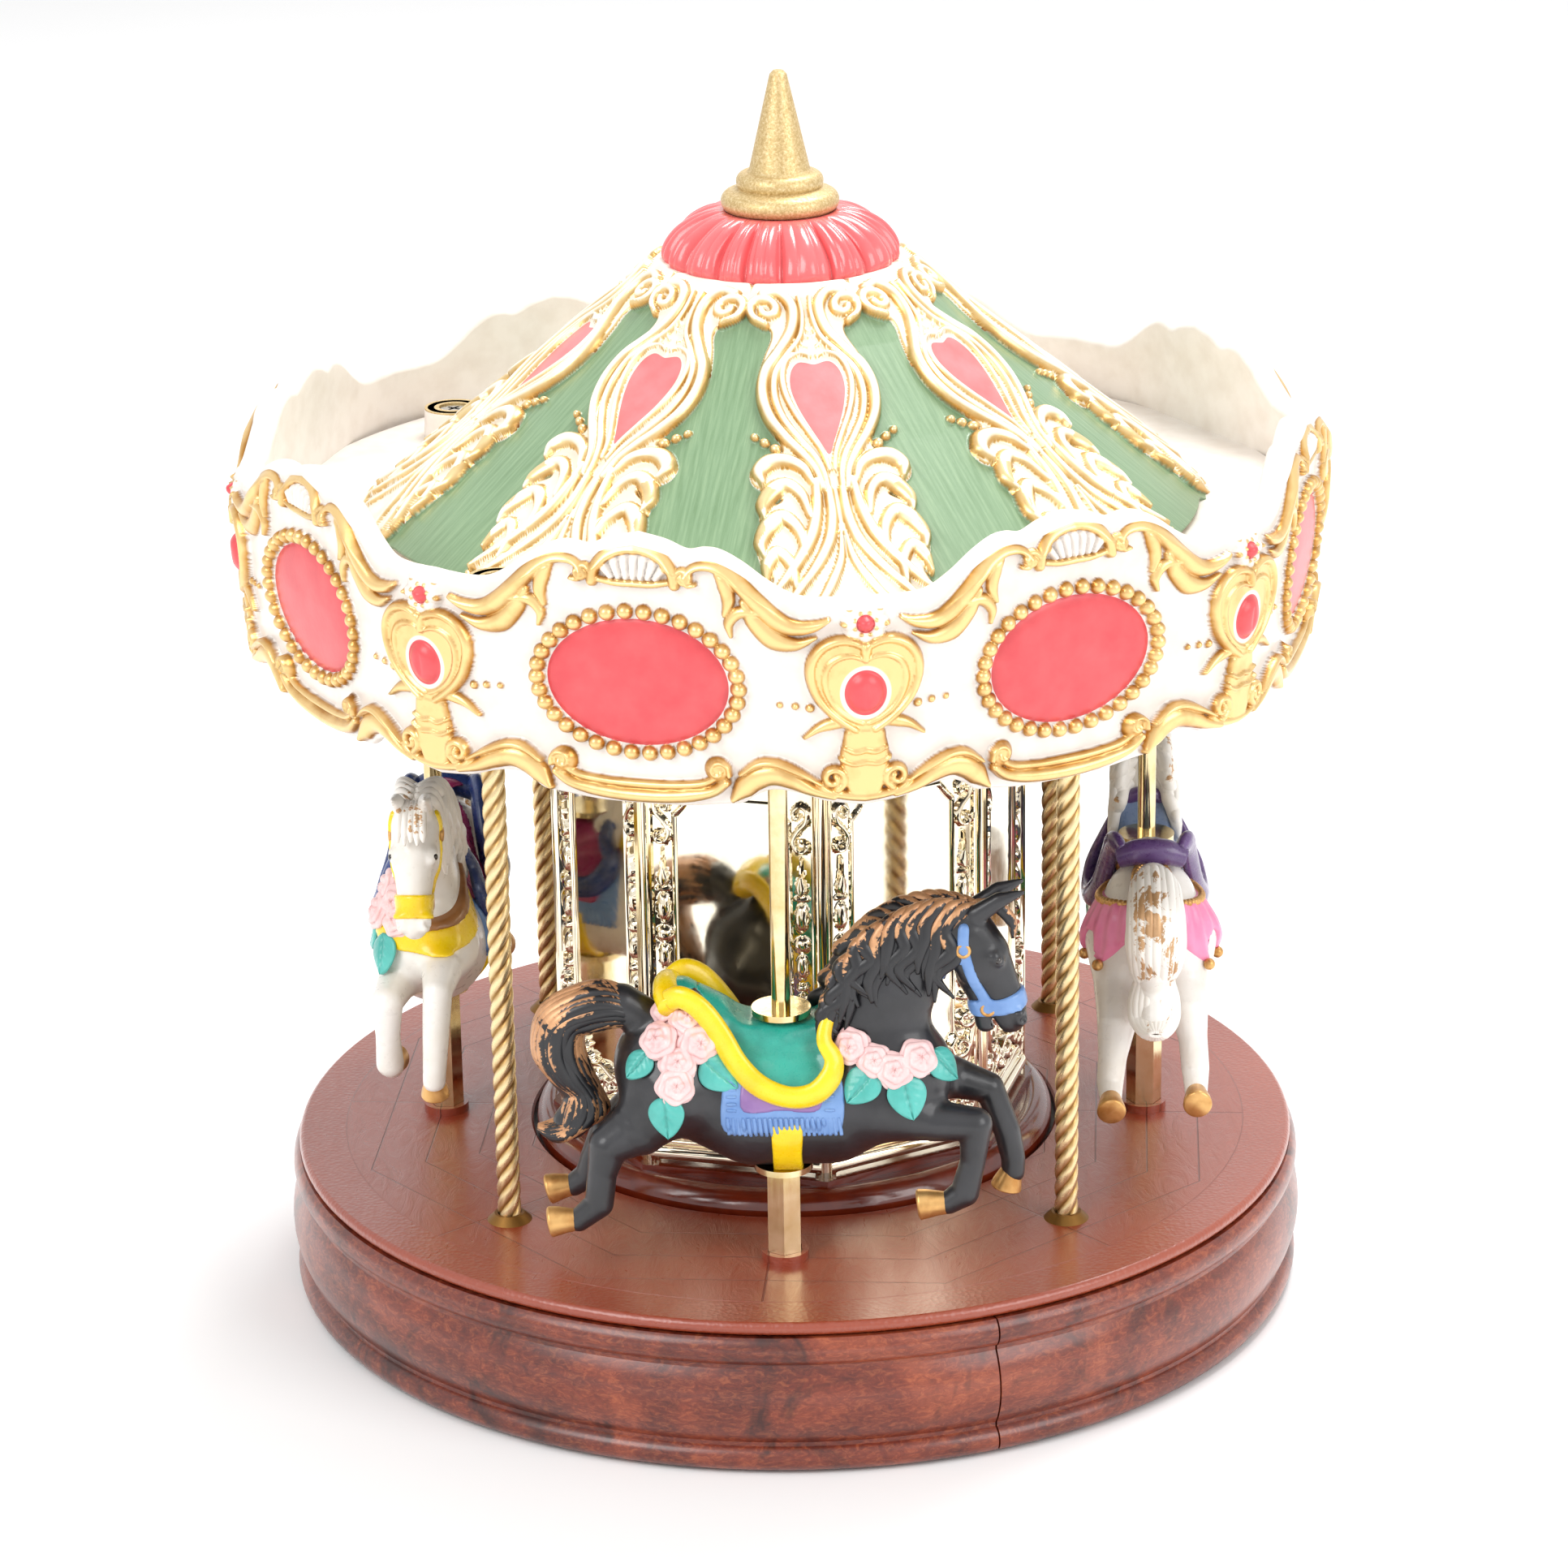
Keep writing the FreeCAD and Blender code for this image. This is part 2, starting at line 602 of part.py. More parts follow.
def comb():
    """Steel comb: a plate whose eighteen tongues reach to the pins of the cylinder."""
    tip = size("dims.cylinder_radius") + 1.0
    axis = size("dims.cylinder_height")
    length = COMB_TEETH * COMB_PITCH
    plate = Part.makeBox(26 - tip, length, 1.0, FreeCAD.Vector(tip, COMB_START, axis - 0.5))
    slots = []
    for k in range(1, COMB_TEETH):
        corner = FreeCAD.Vector(tip - 0.1, COMB_START + COMB_PITCH * k - 0.25, axis - 1.5)
        slots.append(Part.makeBox(9.0, 0.5, 3.0, corner))
    holes = [Part.makeCylinder(1.2, 4, FreeCAD.Vector(COMB_SCREW_X, y, axis - 2))
             for y in COMB_HOLES]
    feature("comb", plate.cut(Part.makeCompound(slots + holes)))


def comb_screws():
    """Three cheese-head screws that clamp the comb."""
    axis = size("dims.cylinder_height")
    screws = []
    for y in COMB_HOLES:
        head = Part.makeCylinder(2.0, 1.2, FreeCAD.Vector(COMB_SCREW_X, y, axis + 0.5))
        corner = FreeCAD.Vector(COMB_SCREW_X - 2.5, y - 0.25, axis + 1.2)
        slot = Part.makeBox(5, 0.5, 0.6, corner)
        shank = Part.makeCylinder(1.2, 1.0, FreeCAD.Vector(COMB_SCREW_X, y, axis - 0.5))
        screws.append(head.cut(slot).fuse(shank))
    feature("comb_screws", Part.makeCompound(screws))


def winding_key():
    """Arbor with a butterfly key on its lower end, standing inside the well."""
    top = size("dims.bridge_top + 1.5")
    arbor = upright(size("dims.arbor"), 3.0, top)
    hub = upright(3.6, 3.0, 13.5)
    wings = Part.makeBox(26, 2.4, 8.5, FreeCAD.Vector(-13, -1.2, 3.5))
    rounds = [Part.makeCylinder(4.25, 2.4, FreeCAD.Vector(x, -1.2, 7.75), FreeCAD.Vector(0, 1, 0))
              for x in (-11, 11)]
    collar = upright(3.4, top - 1.2, top)
    feature("winding_key", fused([arbor, hub, wings, collar] + rounds), 0, size("dims.drive_reach"))


def spring_barrel():
    """Mainspring barrel: a gear below, a drum above and crown teeth on the drum's lid."""
    foot, top, lid = 22.0, 27.5, size("dims.barrel_lid")
    gear = spur_gear(BARREL_TEETH, BARREL_MODULE, 90, foot - 2.5, foot)
    neck = upright(8, foot, top)
    drum = upright(CROWN_RADIUS + 1.6, top, lid)
    teeth = []
    for k in range(CROWN_TEETH):
        tooth = Part.makeBox(3.2, 0.8, 1.3, FreeCAD.Vector(CROWN_RADIUS - 1.6, -0.4, lid - 0.1))
        tooth.rotate(FreeCAD.Vector(), FreeCAD.Vector(0, 0, 1), 270 + 360 / CROWN_TEETH * k)
        teeth.append(tooth)
    barrel = fused([gear, neck, drum] + teeth)
    bore = upright(size("dims.arbor + dims.fit"), foot - 5, lid + 5)
    feature("spring_barrel", barrel.cut(bore), 0, size("dims.drive_reach"))


def idler_gear():
    """Wheel that turns the ring gear, with the pinion below it that the barrel turns."""
    foot = WHEEL_FOOT - 3.2
    pinion = spur_gear(PINION_TEETH, BARREL_MODULE, 270 + 180 / PINION_TEETH, foot, WHEEL_FOOT)
    wheel = spur_gear(WHEEL_TEETH, RING_MODULE, 90, WHEEL_FOOT, WHEEL_TOP)
    bore = upright(size("dims.spindle + dims.fit"), foot - 5, WHEEL_TOP + 5)
    feature("idler_gear", fused([pinion, wheel]).cut(bore), 0, IDLER_Y)


def pinned_cylinder():
    """Music cylinder with its pins, a pinion at the barrel's end and a wheel at the other."""
    radius = size("dims.cylinder_radius")
    drum = upright(radius, -29.6, -1.6)
    shaft = upright(size("dims.spindle"), END_FOOT - 0.4, 13.2)
    pinion = spur_gear(CYLINDER_TEETH, 1.0, 270 + 180 / CYLINDER_TEETH, 9.7, 12.7)
    wheel = spur_gear(END_TEETH, END_MODULE, 180, END_FOOT, END_TOP)
    first = COMB_START + COMB_PITCH / 2
    pins = []
    for tongue in range(COMB_TEETH):
        for beat in range(3):
            turn = (47 * tongue + 131 * beat) % 360
            foot = FreeCAD.Vector(radius - 0.4, 0, first + COMB_PITCH * tongue)
            pin = Part.makeCylinder(0.3, 1.0, foot, FreeCAD.Vector(1, 0, 0))
            pin.rotate(FreeCAD.Vector(), FreeCAD.Vector(0, 0, 1), turn)
            pins.append(pin)
    cylinder = fused([drum, shaft, pinion, wheel] + pins)
    # the cylinder is drawn upright and laid along +Y, so that its foot points to -Y
    cylinder.rotate(FreeCAD.Vector(), FreeCAD.Vector(1, 0, 0), -90)
    feature("pinned_cylinder", cylinder, 0, 0, size("dims.cylinder_height"))


def governor_wheel():
    """Short shaft with the pinion that the cylinder drives and the wheel beside the worm."""
    pinion = spur_gear(GOVERNOR_TEETH, END_MODULE, 180 / GOVERNOR_TEETH, END_FOOT, END_TOP)
    shaft = upright(size("dims.governor_shaft"), END_FOOT - 0.4, -28.8)
    outline = tooth_ring(WORM_TEETH, WORM_WHEEL, WORM_WHEEL - 0.9, WORM_WHEEL, 0)
    wheel = polygon_face(outline, -30.6).extrude(FreeCAD.Vector(0, 0, 1.4))
    shape = fused([pinion, shaft, wheel])
    shape.rotate(FreeCAD.Vector(), FreeCAD.Vector(1, 0, 0), -90)
    feature("governor_wheel", shape, GOVERNOR_X, 0, size("dims.cylinder_height"))


def governor():
    """Air brake: an upright worm with a two-bladed fan below it."""
    axis = size("dims.cylinder_height")
    shaft = upright(size("dims.governor_shaft"), size("dims.frame_bottom + 0.2"), 51.0)
    core = upright(1.5, axis - 5, axis + 5)
    helix = Part.makeHelix(WORM_PITCH, 8, 1.5)
    thread = Part.Wire(Part.makeCircle(0.6, FreeCAD.Vector(1.5, 0, 0), FreeCAD.Vector(0, 1, 0.2)))
    ridge = Part.Wire(helix).makePipeShell([thread], True, True)
    ridge.translate(FreeCAD.Vector(0, 0, axis - 4))
    blades = Part.makeBox(12, 0.8, 6, FreeCAD.Vector(-6, -0.4, 20.3))
    feature("governor", fused([shaft, core, blades, ridge]), WORM_X, WORM_Y)


def stop_slide():
    """Start and stop slide: a thumb tab under the base whose finger holds the governor's fan."""
    parts = [
        Part.makeBox(8, 16, 1.2, FreeCAD.Vector(-4, -56, 4.3)),
        Part.makeBox(4, 5, 4.0, FreeCAD.Vector(-2, -50, 0.6)),
        Part.makeBox(2, 2, 20, FreeCAD.Vector(-1, -49, 4.5)),
        Part.makeBox(24, 2, 2, FreeCAD.Vector(-23, -49, 22.5)),
        Part.makeBox(3, 6.7, 2, FreeCAD.Vector(-24.7, -49, 22.5)),
    ]
    feature("stop_slide", fused(parts))


# ---------------------------------------------------------------- turntable

HORSE_ANGLES = [f"dims.deck_angle - 90 + {90 * k}" for k in range(HORSES)]
POLE_ANGLES = [f"dims.deck_angle - 45 + {90 * k}" for k in range(HORSES)]


def ring_gear():
    """Ring under the deck with teeth inside and the bearing web that runs on the fixed ring."""
    ring = turned("ring_gear_blank", [
        ("dims.journal", "dims.deck_under - dims.web_height"),
        ("dims.gear_web", "dims.deck_under - dims.web_height"),
        ("dims.gear_web", "dims.gear_bottom + dims.gear_height"),
        ("dims.gear_inner", "dims.gear_bottom + dims.gear_height"),
        ("dims.gear_inner", "dims.gear_bottom"),
        ("dims.gear_outer", "dims.gear_bottom"),
        ("dims.gear_outer", "dims.deck_under"),
        ("dims.journal", "dims.deck_under"),
    ])
    doc.recompute()
    low = size("dims.gear_bottom")
    pitch = RING_TEETH * RING_MODULE / 2
    spaces = tooth_ring(RING_TEETH, pitch, pitch - 0.75 * RING_MODULE, pitch + RING_MODULE, 90, 0.64)
    hole = polygon_face(spaces, low - 1).extrude(FreeCAD.Vector(0, 0, size("dims.gear_height") + 1))
    feature("ring_gear", ring.Shape.cut(hole))


def deck():
    """Turntable deck: a flat ring with a rounded lip, bored for the collars and the poles."""
    plate = turned("deck_plate", [
        ("dims.deck_hole", "dims.deck_under"),
        ("dims.deck_radius - 0.9", "dims.deck_under"),
        ("dims.deck_radius", "dims.deck_under + 1.3", "arc"),
        ("dims.deck_radius - 1.1", "dims.deck_top"),
        ("dims.deck_hole + 0.5", "dims.deck_top"),
        ("dims.deck_hole", "dims.deck_top - 0.5"),
    ])
    bores = rods_around("collar_bore", "dims.collar_sleeve", "dims.deck_under - 1",
                        "dims.deck_top + 1", "dims.horse_circle", HORSE_ANGLES)
    holes = rods_around("pole_bore", "dims.spindle", "dims.deck_under - 1", "dims.deck_top + 1",
                        "dims.pole_circle", POLE_ANGLES)
    keep(cut("deck", plate, group("deck_bores", bores + holes)), "deck")


def deck_collars():
    """Collars in the deck whose hexagonal holes keep the horses from turning."""
    collars = []
    for k, angle in enumerate(HORSE_ANGLES):
        x, y = circle_x("dims.horse_circle", angle), circle_y("dims.horse_circle", angle)
        head = rod(f"collar_head_{k}", "dims.collar_radius", "dims.deck_top",
                   "dims.deck_top + 2", x, y)
        sleeve = rod(f"collar_sleeve_{k}", "dims.collar_sleeve", "dims.deck_under - 3.5",
                     "dims.deck_top", x, y)
        hole = hexagon(f"collar_hole_{k}", "dims.bar_flats + 0.15", "dims.deck_under - 5",
                       "dims.deck_top + 5", x, y, angle)
        collars.append(cut(f"collar_{k}", joined(f"collar_solid_{k}", [head, sleeve]), hole))
    keep(group("deck_collars", collars), "deck_collars")


def twisted_pole(k, angle):
    """One pole, smooth here under its rope twist, with a spigot at each end."""
    x, y = circle_x("dims.pole_circle", angle), circle_y("dims.pole_circle", angle)
    shaft = rod(f"pole_shaft_{k}", "dims.twist_radius", "dims.deck_top", "dims.ring_under", x, y)
    spigot = rod(f"pole_spigot_{k}", "dims.spindle", "dims.deck_under - 3", "dims.ring_top + 3.4",
                 x, y)
    label = f"twisted_pole_{k + 1}"
    keep(joined(label, [shaft, spigot]), label)


def pole_flanges():
    """Low conical flanges where the twisted poles meet the deck."""
    flanges = []
    for k, angle in enumerate(POLE_ANGLES):
        x, y = circle_x("dims.pole_circle", angle), circle_y("dims.pole_circle", angle)
        cone = doc.addObject("Part::Cone", f"flange_cone_{k}")
        bind(cone, {"Radius1": "5.1", "Radius2": "3.4", "Height": "1.7"})
        place(cone, x, y, "dims.deck_top")
        hole = rod(f"flange_hole_{k}", "dims.twist_radius", "dims.deck_under", "dims.deck_top + 5",
                   x, y)
        flanges.append(cut(f"flange_{k}", cone, hole))
    keep(group("pole_flanges", flanges), "pole_flanges")


def pole_nuts():
    """Nuts that clamp the twisted poles to the deck and to the upper ring."""
    nuts = []
    for k, angle in enumerate(POLE_ANGLES):
        x, y = circle_x("dims.pole_circle", angle), circle_y("dims.pole_circle", angle)
        for end, low in (("lower", "dims.deck_under - 2.4"), ("upper", "dims.ring_top")):
            nut = hexagon(f"{end}_nut_{k}", "5.5", low, f"({low}) + 2.4", x, y)
            hole = rod(f"{end}_nut_hole_{k}", "dims.spindle", low, f"({low}) + 2.4", x, y)
            nuts.append(cut(f"{end}_nut_cut_{k}", nut, hole))
    keep(group("pole_nuts", nuts), "pole_nuts")


def upper_ring():
    """Ring inside the canopy that joins the poles and turns on the column's cap."""
    plate = turned("upper_ring_plate", [
        ("dims.ring_inner", "dims.ring_under"),
        ("dims.ring_outer", "dims.ring_under"),
        ("dims.ring_outer", "dims.ring_top"),
        ("dims.ring_inner", "dims.ring_top"),
    ])
    low, high = "dims.ring_under - 1", "dims.ring_top + 1"
    bores = rods_around("bush_bore", "dims.bush_radius", low, high, "dims.horse_circle",
                        HORSE_ANGLES)
    holes = rods_around("spigot_bore", "dims.spindle", low, high, "dims.pole_circle", POLE_ANGLES)
    keep(cut("upper_ring", plate, group("upper_bores", bores + holes)), "upper_ring")


def tube_bushes():
    """Flanged bushes in the upper ring that guide the horses' tubes."""
    bushes = []
    for k, angle in enumerate(HORSE_ANGLES):
        x, y = circle_x("dims.horse_circle", angle), circle_y("dims.horse_circle", angle)
        sleeve = rod(f"bush_sleeve_{k}", "dims.bush_radius", "dims.ring_under", "dims.ring_top",
                     x, y)
        flange = rod(f"bush_flange_{k}", "4.4", "dims.ring_top", "dims.ring_top + 1", x, y)
        hole = rod(f"bush_hole_{k}", "dims.tube_radius + dims.fit", "dims.ring_under - 1",
                   "dims.ring_top + 5", x, y)
        bushes.append(cut(f"bush_{k}", joined(f"bush_solid_{k}", [sleeve, flange]), hole))
    keep(group("tube_bushes", bushes), "tube_bushes")


# ---------------------------------------------------------------- horses

# each piece of the figure: its two sides, and its outline as forward and height about the pole
HORSE_PIECES = {
    "trunk": (-11, 11, [
        (-33, -4), (-27, 4), (-18, 4), (-8, -1), (9, -1), (13, 5), (20, 2), (34, -6),
        (37, -14), (33, -26), (22, -32), (3, -37.4), (-15, -33.5), (-27, -32), (-33, -26), (-35, -12)]),
    "neck": (-7, 7, [
        (11, 2), (15, 11), (20, 18.5), (27, 24.5), (36, 26.5), (43, 25),
        (44, 16), (40, 10), (36, 6), (34.5, -2), (35, -8), (14, -8)]),
    "head": (-4.6, 4.6, [
        (37, 23), (43, 26), (52, 29), (48, 22), (51.5, 13), (54, 2),
        (53, -4.5), (49, -5), (45, -5), (42, -3), (41, 4), (36, 8)]),
    "tail": (-4, 4, [
        (-26, 2), (-38, 7), (-46, 8), (-53, 3), (-55.5, -8), (-50.5, -18),
        (-56, -27), (-46, -30), (-42, -22), (-45.5, -12), (-44, -2), (-30, -8)]),
    "near_hind": (-10.5, -3, [
        (-33.5, -13), (-21, -30), (-36, -34), (-40, -46), (-48, -53.5),
        (-56.5, -52.5), (-53, -47), (-47, -43), (-46.5, -36), (-42.5, -26)]),
    "off_hind": (3, 10.5, [
        (-33.5, -12), (-23, -28), (-38, -31), (-43, -38.5), (-48, -44.5),
        (-56.5, -47.5), (-57.5, -43.5), (-52, -40), (-48.5, -37), (-44.5, -28)]),
    "near_fore": (-10.5, -3, [
        (21, -17), (33, -15), (46, -23), (47.5, -27), (44, -41), (37, -48.5),
        (30, -49.5), (29, -45), (34, -41), (37.5, -39), (40, -31), (23, -31.5)]),
    "off_fore": (3, 10.5, [
        (24, -12), (35, -13), (44, -14), (49.5, -18.5), (54, -36), (53.5, -45),
        (50, -45), (47, -38.5), (48.5, -34), (45, -25), (39.5, -20.5), (25, -25)]),
}


def horse_piece(low, high, outline):
    """A flat-sided piece of the figure between two sides."""
    corners = [FreeCAD.Vector(forward, low, height) for forward, height in outline]
    face = Part.Face(Part.makePolygon(corners + corners[:1]))
    return face.extrude(FreeCAD.Vector(0, high - low, 0))


def horse_shape():
    """A plain galloping horse with its saddle, about its pole, with the saddle's disc at 0."""
    figure = fused([horse_piece(*piece) for piece in HORSE_PIECES.values()])
    seat = Part.makeBox(18, 30, 10, FreeCAD.Vector(-8, -15, -0.7))
    belly = size("dims.belly + dims.washer_height - dims.saddle")
    underside = Part.makeBox(20, 40, 10, FreeCAD.Vector(-10, -20, belly - 10))
    bore = upright(size("dims.tube_radius"), -60, 60)
    return figure.cut(Part.makeCompound([seat, underside, bore]))


def horse(name, angle, figure):
    """One horse with the tube above it, the bar below it and the discs that hold it."""
    lift = "dims.cam_rise" if name in RAISED else "0"
    x, y = circle_x("dims.horse_circle", angle), circle_y("dims.horse_circle", angle)
    feature(f"{name}_horse", figure.copy(), size(x), size(y), size(f"dims.saddle + {lift}"),
            size(f"({angle}) + 90"))
    tube = rod(f"{name}_tube_rod", "dims.tube_radius", f"dims.belly + {lift}",
               f"dims.tube_top + {lift}", x, y)
    keep(tube, f"{name}_tube")
    bar = hexagon(f"{name}_bar_prism", "dims.bar_flats", f"dims.bar_bottom + {lift}",
                  f"dims.belly + {lift}", x, y, angle)
    keep(bar, f"{name}_bar")
    discs = []
    for spot, low in (("lower", "dims.belly"), ("upper", "dims.saddle - 0.7")):
        disc = rod(f"{name}_{spot}_disc", "dims.washer", f"{low} + {lift}",
                   f"{low} + dims.washer_height + {lift}", x, y)
        hole = rod(f"{name}_{spot}_hole", "dims.tube_radius", f"{low} + {lift}",
                   f"{low} + dims.washer_height + {lift}", x, y)
        discs.append(cut(f"{name}_{spot}_washer", disc, hole))
    keep(group(f"{name}_discs", discs), f"{name}_discs")


# ---------------------------------------------------------------- column

def plinth():
    """Round moulding round the column's foot, with an eight-sided step on it."""
    ring = turned("plinth_ring", [
        ("dims.journal_bore", "dims.journal_top"),
        ("dims.plinth_radius", "dims.journal_top"),
        ("dims.plinth_radius", "dims.plinth_top - 3.6"),
        ("dims.plinth_radius - 1.6", "dims.plinth_top - 0.9", "arc"),
        ("dims.plinth_radius - 6", "dims.plinth_top"),
        ("dims.journal_bore", "dims.plinth_top"),
    ])
    step = doc.addObject("Part::Prism", "plinth_step")
    step.Polygon = CORNERS
    bind(step, {"Circumradius": "dims.column_radius + 2.6",
                "Height": "dims.column_foot - dims.plinth_top"})
    place(step, "0", "0", "dims.plinth_top", "dims.column_angle")
    hole = rod("plinth_hole", "dims.journal_bore", "dims.journal_top", "dims.column_foot + 1")
    keep(joined("plinth", [ring, cut("plinth_step_ring", step, hole)]), "plinth")


PANEL_FACE = "(dims.column_radius * cos(22.5))"
PANEL_WIDTH = 35.8


def corner_rods(name):
    """Eight upright rods, one at each corner of the column."""
    return rods_around(name, "dims.corner_radius", "dims.column_foot", "dims.column_top",
                       "dims.column_radius - dims.corner_radius", around(CORNERS, "dims.column_angle"))


def column_core():
    """Eight-sided tube behind the mirror panels, hollowed at its corners for the mouldings."""
    solids = []
    for name, depth, low, high in (("outer", "dims.panel_depth", "0", "0"),
                                   ("inner", "dims.panel_depth + dims.core_wall", "-1", "1")):
        prism = doc.addObject("Part::Prism", f"core_{name}")
        prism.Polygon = CORNERS
        bind(prism, {"Circumradius": f"({PANEL_FACE} - ({depth})) / cos(22.5)",
                     "Height": f"dims.column_top - dims.column_foot + {high} - ({low})"})
        place(prism, "0", "0", f"dims.column_foot + ({low})", "dims.column_angle")
        solids.append(prism)
    tools = group("core_cuts", [solids[1]] + corner_rods("core_corner"))
    keep(cut("column_core", solids[0], tools), "column_core")


def panel_box(name, angle, inner, depth, width, low, high):
    """An upright box that lies against the column's face in one direction."""
    box = doc.addObject("Part::Box", name)
    bind(box, {"Length": depth, "Width": str(width), "Height": f"({high}) - ({low})"})
    x = f"({inner}) * cos({angle}) + {width / 2} * sin({angle})"
    y = f"({inner}) * sin({angle}) - {width / 2} * cos({angle})"
    return place(box, x, y, low, angle)


def mirror_panels():
    """Eight plated panels, each with a raised frame round its mirror."""
    panels = []
    for k, angle in enumerate(around(CORNERS, "dims.column_angle + 22.5")):
        plate = panel_box(f"panel_plate_{k}", angle, f"{PANEL_FACE} - dims.panel_depth",
                          "dims.panel_depth", PANEL_WIDTH, "dims.column_foot", "dims.column_top")
        field = panel_box(f"panel_field_{k}", angle, f"{PANEL_FACE} - 0.8", "3",
                          PANEL_WIDTH - 12, "dims.column_foot + 8", "dims.column_top - 8")
        panels.append(cut(f"panel_{k}", plate, field))
    keep(group("mirror_panels", panels), "mirror_panels")


def corner_mouldings():
    """Eight round mouldings that cover the joints between the panels."""
    keep(group("corner_mouldings", corner_rods("corner")), "corner_mouldings")


def column_cap():
    """Cap of the column: the upper ring turns on it and the canopy's frame stands on it."""
    keep(turned("column_cap_turned", [
        ("dims.rod_radius", "dims.column_top"),
        ("dims.cap_flange", "dims.column_top"),
        ("dims.cap_flange", "dims.ring_under - dims.gap"),
        ("dims.ring_inner - dims.fit", "dims.ring_under - dims.gap"),
        ("dims.ring_inner - dims.fit", "dims.ring_top"),
        ("30", "dims.ring_top + 1"),
        ("12", "dims.tray_under - 8"),
        ("12", "dims.tray_under - 3"),
        ("dims.rod_radius", "dims.tray_under - 3"),
    ]), "column_cap")


# ---------------------------------------------------------------- canopy

SHIELDS = around(CORNERS, "dims.column_angle")
OVALS = around(CORNERS, "dims.column_angle + 22.5")
BOSSES = around(4, "dims.column_angle + 45")
LOBE_SWELL = 2.3
# how far the wall draws in from its widest, and at which height
CROWN_PROFILE = [(3.4, 150.0), (2.4, 166.0), (0.8, 184.0), (0.0, 200.0), (0.2, 217.0)]


def canopy_frame():
    """Four-armed plate on the column that the canopy is screwed to."""
    solids = [rod("frame_hub", "16", "dims.tray_under - 3", "dims.tray_under")]
    for k, angle in enumerate(BOSSES):
        arm = doc.addObject("Part::Box", f"frame_arm_{k}")
        bind(arm, {"Length": "dims.boss_circle + 6", "Width": "9", "Height": "3"})
        solids.append(place(arm, f"4.5 * sin({angle})", f"-4.5 * cos({angle})",
                            "dims.tray_under - 3", angle))
    low, high = "dims.tray_under - 5", "dims.tray_under + 1"
    holes = rods_around("arm_hole", "dims.screw_shank", low, high, "dims.boss_circle", BOSSES)
    centre = rod("frame_hole", "dims.rod_radius", low, high)
    keep(cut("canopy_frame", joined("frame_solid", solids), group("frame_cuts", holes + [centre])),
         "canopy_frame")


def lobed_loop(radius, height, points=64):
    """A closed curve round the canopy that stands out at the eight shields."""
    shield = math.radians(size("dims.column_angle"))
    spots = []
    for k in range(points):
        angle = 2 * math.pi * k / points
        reach = radius + LOBE_SWELL * math.cos(CORNERS * (angle - shield))
        spots.append(FreeCAD.Vector(reach * math.cos(angle), reach * math.sin(angle), height))
    curve = Part.BSplineCurve()
    curve.interpolate(Points=spots, PeriodicFlag=True)
    return Part.Wire(curve.toShape())


def lobed_solid(inset):
    """The canopy's outer surface as a solid, drawn in by an inset."""
    widest = size("dims.crown_radius") - LOBE_SWELL - inset
    return Part.makeLoft([lobed_loop(widest - narrowing, height)
                          for narrowing, height in CROWN_PROFILE], True)


def scallops(name_angles, radius, edge, below):
    """Cylinders along the canopy's radius that shape the wavy edge of its wall."""
    tools = []
    for expression in name_angles:
        angle = math.radians(size(expression))
        way = FreeCAD.Vector(math.cos(angle), math.sin(angle), 0)
        height = edge - radius if below else edge + radius
        centre = FreeCAD.Vector(100 * way.x, 100 * way.y, height)
        tools.append(Part.makeCylinder(radius, 40, centre, way))
    return tools


def canopy_crown():
    """Moulded canopy: a wavy wall with an eight-lobed outline, and the tray inside it."""
    outer = lobed_solid(0)
    wall = outer.cut(lobed_solid(size("dims.crown_wall")))
    low, high = size("dims.tray_under"), size("dims.tray_top")
    slab = upright(150, low, high).cut(upright(size("dims.tray_hole"), low - 1, high + 1))
    crown = wall.fuse(outer.common(slab))
    bottom, top = size("dims.crown_bottom"), size("dims.crown_top")
    band = upright(150, bottom, top)
    tools = scallops(SHIELDS, 26.0, 203.0, False) + scallops(OVALS, 60.0, bottom + 3, True)
    for expression in BOSSES:
        hole = upright(size("dims.screw_shank"), low - 1, high + 1)
        angle, reach = math.radians(size(expression)), size("dims.boss_circle")
        hole.translate(FreeCAD.Vector(reach * math.cos(angle), reach * math.sin(angle), 0))
        tools.append(hole)
    feature("canopy_crown", crown.common(band).cut(Part.makeCompound(tools)))


def roof():
    """Conical roof shell that stands on the tray."""
    keep(turned("roof_turned", [
        ("dims.roof_radius - dims.roof_wall", "dims.tray_top"),
        ("dims.roof_radius", "dims.tray_top"),
        ("dims.roof_radius", "dims.tray_top + 1.2"),
        ("dims.roof_bend", "dims.roof_bend_top"),
        ("dims.roof_shoulder", "dims.roof_shoulder_top"),
        ("dims.roof_neck", "dims.roof_top"),
        ("dims.roof_neck - dims.roof_wall", "dims.roof_top"),
        ("dims.roof_shoulder - 2", "dims.roof_shoulder_top - dims.roof_wall"),
        ("dims.roof_bend - 2", "dims.roof_bend_top - 3"),
    ]), "roof")


